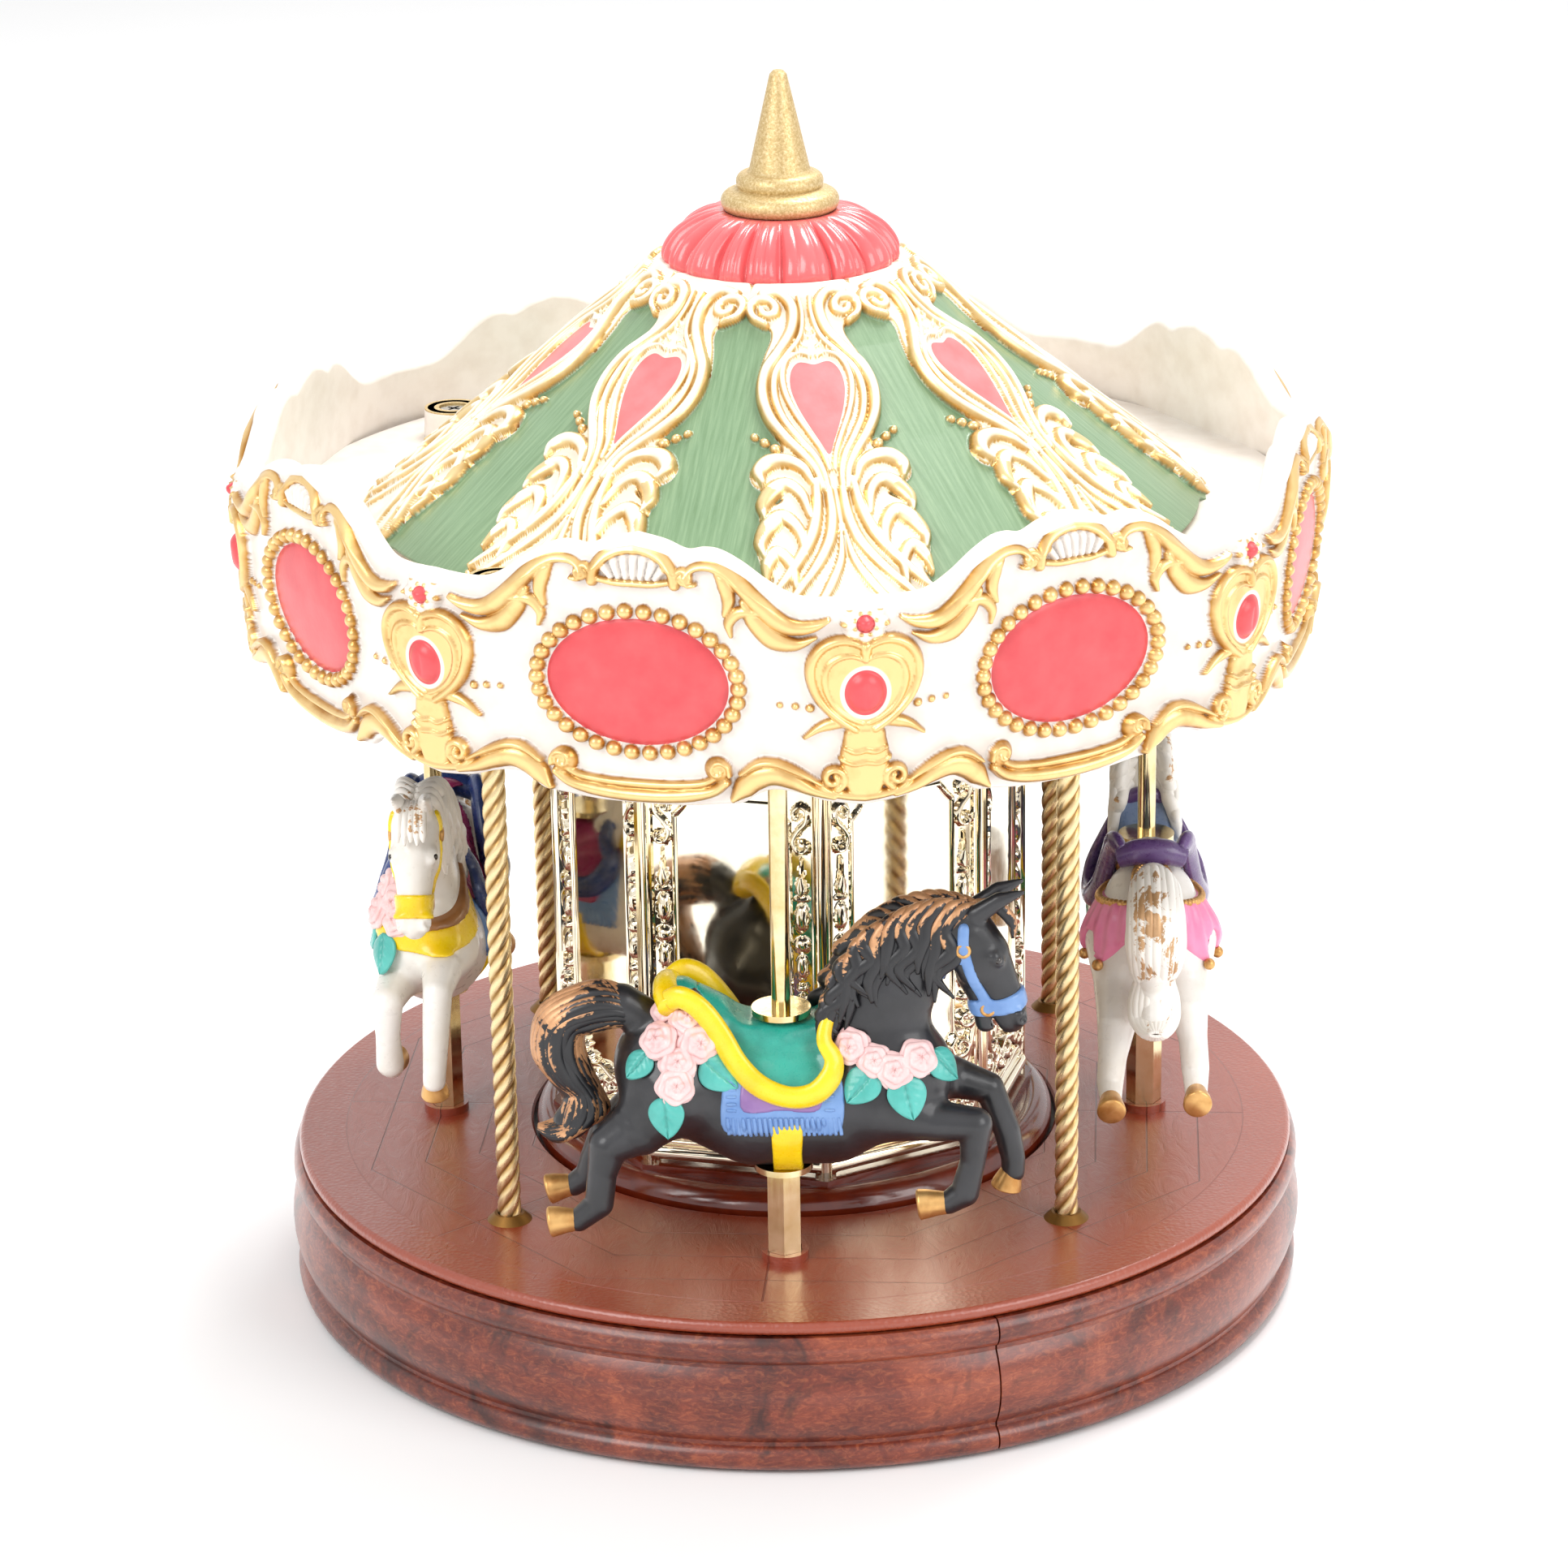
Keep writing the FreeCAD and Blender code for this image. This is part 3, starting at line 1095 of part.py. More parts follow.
def roof_cap():
    """Fluted cap over the top of the roof."""
    dome = turned("cap_turned", [
        ("dims.rod_radius", "dims.roof_top"),
        ("dims.cap_radius - 1.8", "dims.roof_top"),
        ("dims.cap_radius", "dims.cap_rim"),
        ("dims.cap_radius - 5", "dims.cap_top - 3.2", "arc"),
        ("dims.finial_foot", "dims.cap_top"),
        ("dims.rod_radius", "dims.cap_top"),
    ])
    flutes = []
    for k, angle in enumerate(around(24, "0")):
        flute = doc.addObject("Part::Cylinder", f"flute_{k}")
        bind(flute, {"Radius": "1.2", "Height": "30"})
        place(flute, circle_x("15", angle), circle_y("15", angle), "dims.cap_top + 1.6")
        way = math.radians(size(angle))
        lean = FreeCAD.Vector(math.cos(way), math.sin(way), -0.52)
        flute.Placement.Rotation = FreeCAD.Rotation(FreeCAD.Vector(0, 0, 1), lean)
        flutes.append(flute)
    keep(cut("roof_cap", dome, group("flutes", flutes)), "roof_cap")


def finial():
    """Spire with two rings at its foot, bored for the tie rod."""
    keep(turned("finial_turned", [
        ("dims.rod_radius", "dims.cap_top"),
        ("dims.finial_foot - 0.8", "dims.cap_top"),
        ("dims.finial_foot + 0.1", "dims.cap_top + 2", "arc"),
        ("dims.finial_foot - 1.6", "dims.cap_top + 4.2"),
        ("dims.finial_cone + 2.55", "dims.cap_top + 5"),
        ("dims.finial_cone + 2.85", "dims.cap_top + 7", "arc"),
        ("dims.finial_cone + 0.55", "dims.cap_top + 8.4"),
        ("dims.finial_cone", "dims.cap_top + 9"),
        ("2.2", "dims.finial_top - 2"),
        ("1.9", "dims.finial_top - 0.8"),
        ("1.1", "dims.finial_top"),
        ("0", "dims.finial_top"),
        ("0", "dims.cap_top + 11"),
        ("dims.rod_radius", "dims.cap_top + 11"),
    ]), "finial")


def tie_rod():
    """Rod that pulls the finial, cap, roof and frame down on the column, with its nut."""
    bar = rod("tie_bar", "dims.rod_radius", "dims.column_top - 6", "dims.cap_top + 11")
    nut = hexagon("tie_nut", "7", "dims.column_top - 3.2", "dims.column_top")
    keep(joined("tie_rod", [bar, nut]), "tie_rod")


def screw_cups():
    """Four cups in the canopy's tray with a recess for the screw's head."""
    cups = []
    for k, angle in enumerate(BOSSES):
        x, y = circle_x("dims.boss_circle", angle), circle_y("dims.boss_circle", angle)
        foot = rod(f"cup_foot_{k}", "4.5", "dims.tray_top", "dims.boss_top - 4.5", x, y)
        head = rod(f"cup_head_{k}", "dims.boss_radius", "dims.boss_top - 4.5", "dims.boss_top", x, y)
        sink = rod(f"cup_sink_{k}", "3.6", "dims.boss_top - 2.2", "dims.boss_top + 1", x, y)
        bore = rod(f"cup_bore_{k}", "dims.screw_shank", "dims.tray_under", "dims.boss_top + 1", x, y)
        cups.append(cut(f"cup_{k}", joined(f"cup_solid_{k}", [foot, head]),
                        group(f"cup_cuts_{k}", [sink, bore])))
    keep(group("screw_cups", cups), "screw_cups")


def canopy_screws():
    """Four cross-head screws through the cups into the canopy's frame."""
    screws = []
    for k, angle in enumerate(BOSSES):
        x, y = circle_x("dims.boss_circle", angle), circle_y("dims.boss_circle", angle)
        head = rod(f"canopy_head_{k}", "3.2", "dims.boss_top - 2.2", "dims.boss_top - 0.4", x, y)
        shank = rod(f"canopy_shank_{k}", "dims.screw_shank", "dims.tray_under - 3",
                    "dims.boss_top - 2.2", x, y)
        slots = []
        for way in ("0", "90"):
            slot = doc.addObject("Part::Box", f"cross_{k}_{way}")
            bind(slot, {"Length": "3.6", "Width": "0.8", "Height": "2"})
            turn = f"({angle}) + {way}"
            place(slot, f"({x}) - 1.8 * cos({turn}) + 0.4 * sin({turn})",
                  f"({y}) - 1.8 * sin({turn}) - 0.4 * cos({turn})", "dims.boss_top - 1.4", turn)
            slots.append(slot)
        screws.append(cut(f"canopy_screw_{k}", joined(f"screw_solid_{k}", [head, shank]),
                          group(f"cross_{k}", slots)))
    keep(group("canopy_screws", screws), "canopy_screws")


# ---------------------------------------------------------------- run

base_half("base_half_right", "dims.seam_angle")
base_half("base_half_left", "dims.seam_angle + 180")
bottom_plate()
base_screws()
base_feet()
cam_track()
slip_ring()
hub_posts()
hub_journal()
movement_frame()
comb()
comb_screws()
winding_key()
spring_barrel()
idler_gear()
pinned_cylinder()
governor_wheel()
governor()
stop_slide()
ring_gear()
deck()
deck_collars()
for number, direction in enumerate(POLE_ANGLES):
    twisted_pole(number, direction)
pole_flanges()
pole_nuts()
upper_ring()
tube_bushes()
horse_figure = horse_shape()
for horse_name, direction in zip(HORSE_NAMES, HORSE_ANGLES):
    horse(horse_name, direction, horse_figure)
plinth()
column_core()
mirror_panels()
corner_mouldings()
column_cap()
canopy_frame()
canopy_crown()
roof()
roof_cap()
finial()
tie_rod()
screw_cups()
canopy_screws()

doc.recompute()
for item in doc.Objects:
    if "Invalid" in item.State or "Error" in item.State:
        raise RuntimeError(f"{item.Label} failed to build")
os.makedirs("parts", exist_ok=True)
for item in subparts:
    if item.Shape.isNull() or not item.Shape.isValid():
        raise RuntimeError(f"{item.Label} has no valid shape")
    item.Shape.exportStep(f"parts/{item.Label}.step")
    print(item.Label, len(item.Shape.Solids), "solids, volume", round(item.Shape.Volume))
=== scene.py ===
"""Looks of the carousel music box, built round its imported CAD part.

Lengths are in millimetres until a mesh is made. Angles round the axis are in degrees: 0 lies to the
right, and -90 lies in front.
"""

import math

import bpy
import numpy as np
from mathutils import Matrix, Vector


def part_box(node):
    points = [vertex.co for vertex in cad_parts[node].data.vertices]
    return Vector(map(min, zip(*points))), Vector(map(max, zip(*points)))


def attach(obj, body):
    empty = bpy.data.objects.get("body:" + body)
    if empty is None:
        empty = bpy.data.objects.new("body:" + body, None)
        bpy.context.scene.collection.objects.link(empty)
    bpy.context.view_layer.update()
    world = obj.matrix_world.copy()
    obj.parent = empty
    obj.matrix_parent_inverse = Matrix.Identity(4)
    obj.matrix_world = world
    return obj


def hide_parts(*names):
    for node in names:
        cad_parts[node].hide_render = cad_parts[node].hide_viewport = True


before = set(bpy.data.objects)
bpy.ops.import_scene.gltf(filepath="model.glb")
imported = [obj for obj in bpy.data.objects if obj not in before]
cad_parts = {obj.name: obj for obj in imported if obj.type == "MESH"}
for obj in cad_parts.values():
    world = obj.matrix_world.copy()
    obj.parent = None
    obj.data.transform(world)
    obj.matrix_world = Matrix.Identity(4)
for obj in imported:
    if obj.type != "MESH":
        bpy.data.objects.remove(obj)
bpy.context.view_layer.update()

MM = 0.001
COLUMN_ANGLE = -82.7  # of one corner of the column, and of the shield above it
SECTORS = 8


# ---------------------------------------------------------------- meshes

def mesh_piece(name, points, faces, finish, body, marks=None, crease=None):
    """A smooth piece from points in millimetres and faces with one number of corners each."""
    faces = np.asarray(faces, np.int32)
    corners = faces.shape[1]
    mesh = bpy.data.meshes.new(name)
    mesh.vertices.add(len(points))
    mesh.vertices.foreach_set("co", (np.asarray(points, np.float32) * MM).ravel())
    mesh.loops.add(faces.size)
    mesh.loops.foreach_set("vertex_index", faces.ravel())
    mesh.polygons.add(len(faces))
    mesh.polygons.foreach_set("loop_start", np.arange(0, faces.size, corners, dtype=np.int32))
    mesh.update(calc_edges=True)
    mesh.validate()
    for mark, values in (marks or {}).items():
        layer = mesh.attributes.new(mark, "FLOAT", "POINT")
        layer.data.foreach_set("value", np.asarray(values, np.float32).ravel())
    mesh.shade_smooth()
    if crease:
        mesh.set_sharp_from_angle(angle=math.radians(crease))
    mesh.materials.append(finish)
    piece = bpy.data.objects.new(name, mesh)
    bpy.context.scene.collection.objects.link(piece)
    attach(piece, body)
    return piece


def grid_faces(rows, columns, wrap_rows=False, wrap_columns=False):
    """Quads over points that lie row by row."""
    last_row = rows if wrap_rows else rows - 1
    last_column = columns if wrap_columns else columns - 1
    row, column = np.meshgrid(np.arange(last_row), np.arange(last_column), indexing="ij")
    next_row = (row + 1) % rows
    next_column = (column + 1) % columns
    ring = [row * columns + column, row * columns + next_column,
            next_row * columns + next_column, next_row * columns + column]
    return np.stack(ring, -1).reshape(-1, 4)


def smooth_path(points, count):
    """A number of points on a smooth curve through the given ones."""
    p = np.asarray(points, float)
    p = np.vstack([2 * p[0] - p[1], p, 2 * p[-1] - p[-2]])
    t = np.linspace(0, len(p) - 3, count)
    i = np.minimum(t.astype(int), len(p) - 4)
    f = (t - i)[:, None]
    a, b, c, d = p[i], p[i + 1], p[i + 2], p[i + 3]
    return (2 * b + (c - a) * f + (2 * a - 5 * b + 4 * c - d) * f ** 2 + (3 * b - a - 3 * c + d) * f ** 3) / 2


def spread(values, count):
    """A number of values spaced evenly along a list."""
    return np.interp(np.linspace(0, len(values) - 1, count), np.arange(len(values)), values)


def ease(x):
    """0 below 0, 1 above 1, and smooth between."""
    x = np.clip(x, 0, 1)
    return x * x * (3 - 2 * x)


def full_turn(count):
    """Evenly spaced angles all the way round, in radians."""
    return np.linspace(0, 2 * math.pi, count, endpoint=False)


def around(radius, turn, height):
    """Points at a radius, an angle in radians and a height about the axis."""
    radius, turn, height = np.broadcast_arrays(radius, turn, height)
    return np.stack([radius * np.cos(turn), radius * np.sin(turn), height], -1)


def lathe(outline, steps=256):
    """Points and quads of a closed outline of (radius, height) turned about the axis."""
    radius, height = np.array(outline, float).T[:, :, None]
    return around(radius, full_turn(steps), height).reshape(-1, 3), grid_faces(len(outline), steps, True, True)


def capped(rings):
    """Points and quads of a tower of closed rings, whose first and last ring shut on their middle."""
    rings = np.asarray(rings, float)
    first, last = (np.broadcast_to(rings[end].mean(0), (1,) + rings[end].shape) for end in (0, -1))
    tower = np.vstack([first, rings, last])
    return tower.reshape(-1, 3), grid_faces(len(tower), tower.shape[1], False, True)


def unmarked(points, faces):
    """Points and faces as merge() wants them, with nothing marked on them."""
    return points, faces, np.zeros(len(points))


def merge(parts):
    """One list of points, faces and marks from several (points, faces, marks)."""
    points, faces, marks, start = [], [], [], 0
    for part_points, part_faces, part_marks in parts:
        points.append(part_points)
        faces.append(np.asarray(part_faces) + start)
        marks.append(part_marks)
        start += len(part_points)
    return np.vstack(points), np.vstack(faces), np.concatenate(marks)


def tube(points, radii, sides=12, flat=1.0, count=None):
    """A closed tapering tube along a smooth path, with how far each point faces outwards as its mark."""
    count = count or 7 * len(points)
    path = smooth_path(points, count)
    radius = spread(radii, count)
    along = np.gradient(path, axis=0)
    along /= np.linalg.norm(along, axis=1)[:, None]
    side = np.zeros_like(path)
    guide = np.array([0.0, 1.0, 0.0]) if abs(along[0][1]) < 0.9 else np.array([1.0, 0.0, 0.0])
    for i, heading in enumerate(along):
        guide = guide - heading * (guide @ heading)
        guide /= np.linalg.norm(guide)
        side[i] = guide
    other = np.cross(along, side)
    turn = full_turn(sides)
    ring = side[:, None] * np.cos(turn)[None, :, None] * flat + other[:, None] * np.sin(turn)[None, :, None]
    body = path[:, None] + ring * radius[:, None, None]
    first, last = (np.broadcast_to(path[end], (1, sides, 3)) for end in (0, -1))
    points = np.vstack([first, body, last])
    marks = np.broadcast_to(np.abs(np.sin(turn)), (count + 2, sides))
    return points.reshape(-1, 3), grid_faces(count + 2, sides, False, True), marks.ravel()


# ---------------------------------------------------------------- relief

NO_PAINT = -2.0  # depth in a paint of what lies far outside it


class Relief:
    """Ornament over a flat map: its height in mm, and for each paint how deep inside it a point lies."""

    def __init__(self, across, up, paints):
        self.across = across
        self.up = up
        self.height = np.zeros_like(across)
        self.crest = np.zeros_like(across)
        self.paint = {name: np.full_like(across, NO_PAINT) for name in paints}

    def raise_form(self, ratio, inner, height, paint, clear):
        """Adds a rounded form where ratio is below 1, and paints it."""
        dome = np.sqrt(np.clip(1 - ratio ** 2, 0, 1))
        lifted = height * dome
        self.crest = np.where(lifted > self.height, dome, self.crest)
        self.height = np.maximum(self.height, lifted)
        if paint:
            self.paint[paint] = np.maximum(self.paint[paint], inner)
        for other in self.paint:
            if clear and other != paint:
                self.paint[other] = np.minimum(self.paint[other], -inner)

    def stroke(self, points, radii, height, paint="gilt"):
        """A rounded band of changing width along a smooth path of (across, up)."""
        count = 6 * len(points)
        path = smooth_path(points, count)
        width = spread(radii, count)
        ratio = np.full_like(self.across, 9.0)
        inner = np.full_like(self.across, -9.0)
        for (ax, ay), (bx, by), ra, rb in zip(path, path[1:], width, width[1:]):
            dx, dy = bx - ax, by - ay
            near = np.abs(self.across - ax) + np.abs(self.up - ay) < 4 * ra + abs(dx) + abs(dy)
            x, y = self.across[near] - ax, self.up[near] - ay
            t = np.clip((x * dx + y * dy) / (dx * dx + dy * dy + 1e-9), 0, 1)
            distance = np.hypot(x - t * dx, y - t * dy)
            radius = ra + t * (rb - ra)
            ratio[near] = np.minimum(ratio[near], distance / radius)
            inner[near] = np.maximum(inner[near], radius - distance)
        self.raise_form(ratio, inner, height, paint, False)

    def dome(self, x, y, wide, high, height, paint="gilt", clear=False):
        """A bead or an oval."""
        ratio = np.hypot((self.across - x) / wide, (self.up - y) / high)
        self.raise_form(ratio, (1 - ratio) * min(wide, high), height, paint, clear)

    def plate(self, outline, height, edge, paint, clear=False):
        """A filled shape inside a smooth closed outline, rounded over a width at its edge."""
        path = smooth_path(list(outline) + [outline[0]], 5 * len(outline))
        depth = np.full_like(self.across, 99.0)
        inside = np.zeros(self.across.shape, bool)
        for (ax, ay), (bx, by) in zip(path, path[1:]):
            x, y = self.across - ax, self.up - ay
            dx, dy = bx - ax, by - ay
            t = np.clip((x * dx + y * dy) / (dx * dx + dy * dy + 1e-9), 0, 1)
            depth = np.minimum(depth, np.hypot(x - t * dx, y - t * dy))
            crosses = (ay > self.up) != (by > self.up)
            inside ^= crosses & (self.across < ax + dx * (self.up - ay) / (dy if dy else 1e-9))
        inner = np.where(inside, depth, -depth)
        self.raise_form(1 - np.clip(inner / edge, 0, 1), inner, height, paint, clear)

    def marks(self):
        """The marks that the paint needs, each with its value on plain surfaces."""
        paints = {name: (values, NO_PAINT) for name, values in self.paint.items()}
        return {"crest": (self.crest, 0.0), **paints}


def spiral(x, y, radius, start, turns, shrink=0.25):
    """Points of a curl that winds inwards about (x, y) from an angle in degrees."""
    share = np.linspace(0, 1, max(5, int(abs(turns) * 9)))
    angle = math.radians(start) + share * turns * 2 * math.pi
    reach = radius * (1 - (1 - shrink) * share)
    return list(zip(x + reach * np.cos(angle), y + reach * np.sin(angle)))


def mirrored_sectors(half):
    """Full circle of columns from the columns of half a sector, its last column left out of each mirror."""
    return np.tile(np.concatenate([half, half[:, -2:0:-1]], axis=1), (1, SECTORS))


def sector_skin(name, slot, start, face, rest, marks, inside_out=False):
    """A closed skin all round on the base, from half a sector: the rows of its carved face, then plain rows."""
    radius, height = (mirrored_sectors(np.vstack([rows] + [row[k] for row in rest])) for k, rows in enumerate(face))
    plain = (len(rest), face[0].shape[1])
    marks = {key: mirrored_sectors(np.vstack([values, np.full(plain, blank)]))
             for key, (values, blank) in marks.items()}
    points = around(radius, math.radians(start) + full_turn(radius.shape[1]), height)
    faces = grid_faces(*radius.shape, True, True)
    faces = faces[:, ::-1] if inside_out else faces
    return mesh_piece(name, points.reshape(-1, 3), faces, FINISHES[slot], "base", marks)


# ---------------------------------------------------------------- materials

SOCKETS = {"color": "Base Color", "metallic": "Metallic", "roughness": "Roughness", "coat": "Coat Weight",
           "coat_roughness": "Coat Roughness", "specular": "Specular IOR Level", "normal": "Normal"}


def tint(code):
    """Linear colour from a six-digit sRGB code."""
    parts = [int(code[i:i + 2], 16) / 255 for i in (0, 2, 4)]
    return tuple(c / 12.92 if c < 0.04045 else ((c + 0.055) / 1.055) ** 2.4 for c in parts) + (1.0,)


class Finish:
    """A node material on one Principled shader, with short calls for the nodes used here."""

    def __init__(self, name, **constants):
        self.material = bpy.data.materials.new(name)
        self.material.use_nodes = True
        self.tree = self.material.node_tree
        self.shader = self.tree.nodes["Principled BSDF"]
        self.place = self.add("ShaderNodeTexCoord").outputs["Object"]
        self.set(**constants)

    def set(self, **values):
        for key, value in values.items():
            self.join(self.shader.inputs[SOCKETS[key]], value)
        return self

    def join(self, socket, value):
        if isinstance(value, bpy.types.NodeSocket):
            self.tree.links.new(value, socket)
        else:
            socket.default_value = value

    def add(self, kind, inputs=None, **settings):
        node = self.tree.nodes.new(kind)
        for key, value in settings.items():
            setattr(node, key, value)
        for key, value in (inputs or {}).items():
            self.join(node.inputs[key], value)
        return node

    def stretched(self, x, y, z):
        return self.add("ShaderNodeMapping", {"Vector": self.place, "Scale": (x, y, z)}).outputs["Vector"]

    def noise(self, scale, detail=3.0, roughness=0.5, distortion=0.0, vector=None):
        inputs = {"Vector": vector or self.place, "Scale": scale, "Detail": detail,
                  "Roughness": roughness, "Distortion": distortion}
        return self.add("ShaderNodeTexNoise", inputs).outputs[0]

    def ramp(self, factor, *stops):
        node = self.add("ShaderNodeValToRGB", {"Fac": factor})
        elements = node.color_ramp.elements
        while len(elements) < len(stops):
            elements.new(0.5)
        for element, (position, color) in zip(elements, stops):
            element.position = position
            element.color = tint(color) if isinstance(color, str) else (color, color, color, 1.0)
        return node.outputs["Color"]

    def remap(self, value, low, high, start=0.0, end=1.0):
        inputs = {"Value": value, "From Min": low, "From Max": high, "To Min": start, "To Max": end}
        return self.add("ShaderNodeMapRange", inputs).outputs["Result"]

    def mark(self, name):
        return self.add("ShaderNodeAttribute", attribute_name=name).outputs["Fac"]

    def mix(self, factor, one, other):
        node = self.add("ShaderNodeMix", data_type="RGBA")
        for socket, value in zip((node.inputs[0], node.inputs[6], node.inputs[7]), (factor, one, other)):
            self.join(socket, tint(value) if isinstance(value, str) else value)
        return node.outputs[2]

    def math(self, operation, one, other=0.0):
        return self.add("ShaderNodeMath", {0: one, 1: other}, operation=operation).outputs[0]

    def bump(self, height, distance, strength=1.0):
        inputs = {"Height": height, "Distance": distance * MM, "Strength": strength}
        return self.set(normal=self.add("ShaderNodeBump", inputs).outputs["Normal"])


def plain_paint(name, code, shade, roughness=0.35, coat=0.3, grain=0.06, scale=900.0):
    """Enamel with slightly uneven colour and a faint orange-peel surface."""
    finish = Finish(name, coat=coat, coat_roughness=0.15)
    patch = finish.noise(scale * 0.2, 4.0)
    finish.set(color=finish.ramp(patch, (0.3, shade), (0.62, code)),
               roughness=finish.remap(finish.noise(scale), 0.3, 0.7, roughness - 0.07, roughness + 0.07))
    return finish.bump(finish.noise(scale, 2.0), grain).material


def metal(name, code, shade, roughness=0.2, grain=0.02, scale=1500.0, stretch=(1.0, 1.0, 1.0)):
    """Metal with fine wear and patches of tarnish."""
    finish = Finish(name, metallic=1.0)
    patch = finish.noise(120.0, 5.0, 0.6)
    fine = finish.noise(scale, 2.0, 0.5, 0.0, finish.stretched(*stretch))
    finish.set(color=finish.ramp(patch, (0.28, shade), (0.6, code)),
               roughness=finish.remap(fine, 0.25, 0.75, roughness * 0.6, roughness * 1.5))
    return finish.bump(fine, grain).material


def burl():
    """Lacquered burl: cloudy red-brown figure with dark eyes and fine wavy grain."""
    finish = Finish("burl", coat=0.6, coat_roughness=0.25, specular=0.4)
    cloud = finish.noise(24.0, 7.0, 0.66, 1.6)
    grain = finish.noise(330.0, 5.0, 0.72, 1.4, finish.stretched(1.0, 1.0, 2.4))
    eyes = finish.noise(46.0, 4.0, 0.7, 0.8)
    figure = finish.ramp(cloud, (0.33, "3a120d"), (0.45, "5c2016"), (0.55, "7e331f"), (0.68, "a14f32"))
    fine = finish.ramp(grain, (0.36, "43160f"), (0.5, "78301d"), (0.64, "b06039"))
    blend = finish.mix(0.42, figure, fine)
    finish.set(color=finish.mix(finish.remap(eyes, 0.33, 0.46, 0.85, 0.0), blend, "2f0c08"),
               roughness=finish.remap(cloud, 0.3, 0.7, 0.4, 0.28))
    return finish.bump(grain, 0.02).material


def board():
    """Pressed dark fibre board."""
    finish = Finish("dark_board", specular=0.2)
    fibre = finish.noise(700.0, 5.0, 0.7, 0.3)
    finish.set(color=finish.ramp(fibre, (0.35, "221a15"), (0.65, "3b2e25")),
               roughness=finish.remap(fibre, 0.3, 0.7, 0.7, 0.9))
    return finish.bump(fibre, 0.1).material


DECK_RIM = 0.107  # radius of the parquet's edge, in metres as the shader has it
DECK_PLANK = 0.006  # width of a plank


def parquet():
    """Red-brown plastic deck, moulded as parquet panels inside a leather-grained rim."""
    finish = Finish("deck_brown", coat=0.85, coat_roughness=0.24)
    spot = finish.add("ShaderNodeSeparateXYZ", {"Vector": finish.place})
    x, y = spot.outputs["X"], spot.outputs["Y"]
    radius = finish.math("SQRT", finish.math("ADD", finish.math("MULTIPLY", x, x), finish.math("MULTIPLY", y, y)))
    # planks of eight panels lie across each panel's middle
    sector = finish.math("PINGPONG", finish.math("ADD", finish.math("ARCTAN2", y, x), 4.0), math.pi / SECTORS)
    across = finish.math("MULTIPLY", radius, finish.math("SINE", sector))
    out = finish.math("MULTIPLY", radius, finish.math("COSINE", sector))
    planks = finish.remap(finish.math("PINGPONG", out, DECK_PLANK), 0.0, 0.00022)
    joints = finish.remap(finish.math("ABSOLUTE", across), 0.0, 0.0003)
    edge = finish.remap(finish.math("ABSOLUTE", finish.math("SUBTRACT", radius, DECK_RIM)), 0.0, 0.0003)
    seams = finish.math("MULTIPLY", finish.math("MULTIPLY", planks, joints), edge)
    grain = finish.noise(170.0, 5.0, 0.65, 2.2, finish.stretched(1.0, 0.35, 1.0))
    leather = finish.add("ShaderNodeTexVoronoi", {"Vector": finish.place, "Scale": 900.0}).outputs["Distance"]
    rim = finish.remap(radius, DECK_RIM - 0.0002, DECK_RIM + 0.0002)
    inside = finish.math("MULTIPLY", finish.math("SUBTRACT", 1.0, rim), finish.math("ADD", seams, grain))
    height = finish.math("ADD", inside, finish.math("MULTIPLY", rim, finish.math("MULTIPLY", leather, 0.35)))
    finish.set(color=finish.ramp(finish.noise(14.0, 4.0), (0.3, "8a3319"), (0.7, "9c4325")),
               roughness=finish.remap(grain, 0.3, 0.7, 0.26, 0.42))
    return finish.bump(height, 0.42).material


def relief_paint(name, ground, ground_shade, gold_painted_highlight, gold_painted_shade, coral_low, coral_high):
    """Painted relief: gold where it is marked, coral in the ovals, green or ivory elsewhere."""
    finish = Finish(name, coat=0.12, coat_roughness=0.2)
    crest = finish.mark("crest")
    gilt = finish.remap(finish.mark("gilt"), -0.12, 0.14)
    coral = finish.remap(finish.mark("coral"), -0.05, 0.05)
    green = finish.remap(finish.mark("green"), -0.08, 0.08)
    cloud = finish.noise(160.0, 4.0)
    slope = finish.add("ShaderNodeCombineXYZ", {"X": finish.mark("across"), "Y": finish.mark("down")})
    brush = finish.noise(1.0, 5.0, 0.65, 0.3, slope.outputs["Vector"])
    color = finish.ramp(cloud, (0.3, ground_shade), (0.6, ground))
    color = finish.mix(green, color, finish.ramp(brush, (0.3, "6b8963"), (0.5, "7a9773"), (0.7, "8ba681")))
    color = finish.mix(coral, color, finish.ramp(cloud, (0.3, coral_low), (0.7, coral_high)))
    # the gold is painted shade and painted highlight: dark brown at the foot of each form and in the grooves,
    # lightest gold on its crest
    gold = finish.ramp(finish.math("ADD", crest, finish.remap(cloud, 0.3, 0.7, -0.2, 0.2)),
                       (0.0, "744716"), (0.4, gold_painted_shade), (0.95, gold_painted_highlight))
    finish.set(color=finish.mix(gilt, color, gold), metallic=finish.remap(gilt, 0.0, 1.0, 0.0, 0.7),
               roughness=finish.remap(gilt, 0.0, 1.0, 0.34, 0.3))
    return finish.bump(finish.noise(1100.0, 3.0), 0.02).material


def speckled_gold():
    """Matt gold paint with coarse metal flakes."""
    finish = Finish("gold_paint")
    flake = finish.noise(1700.0, 4.0, 0.8)
    finish.set(color=finish.ramp(flake, (0.3, "a98a55"), (0.5, "cdb27c"), (0.7, "ead9ae")),
               metallic=0.45, roughness=finish.remap(flake, 0.3, 0.7, 0.5, 0.32))
    return finish.bump(flake, 0.05).material


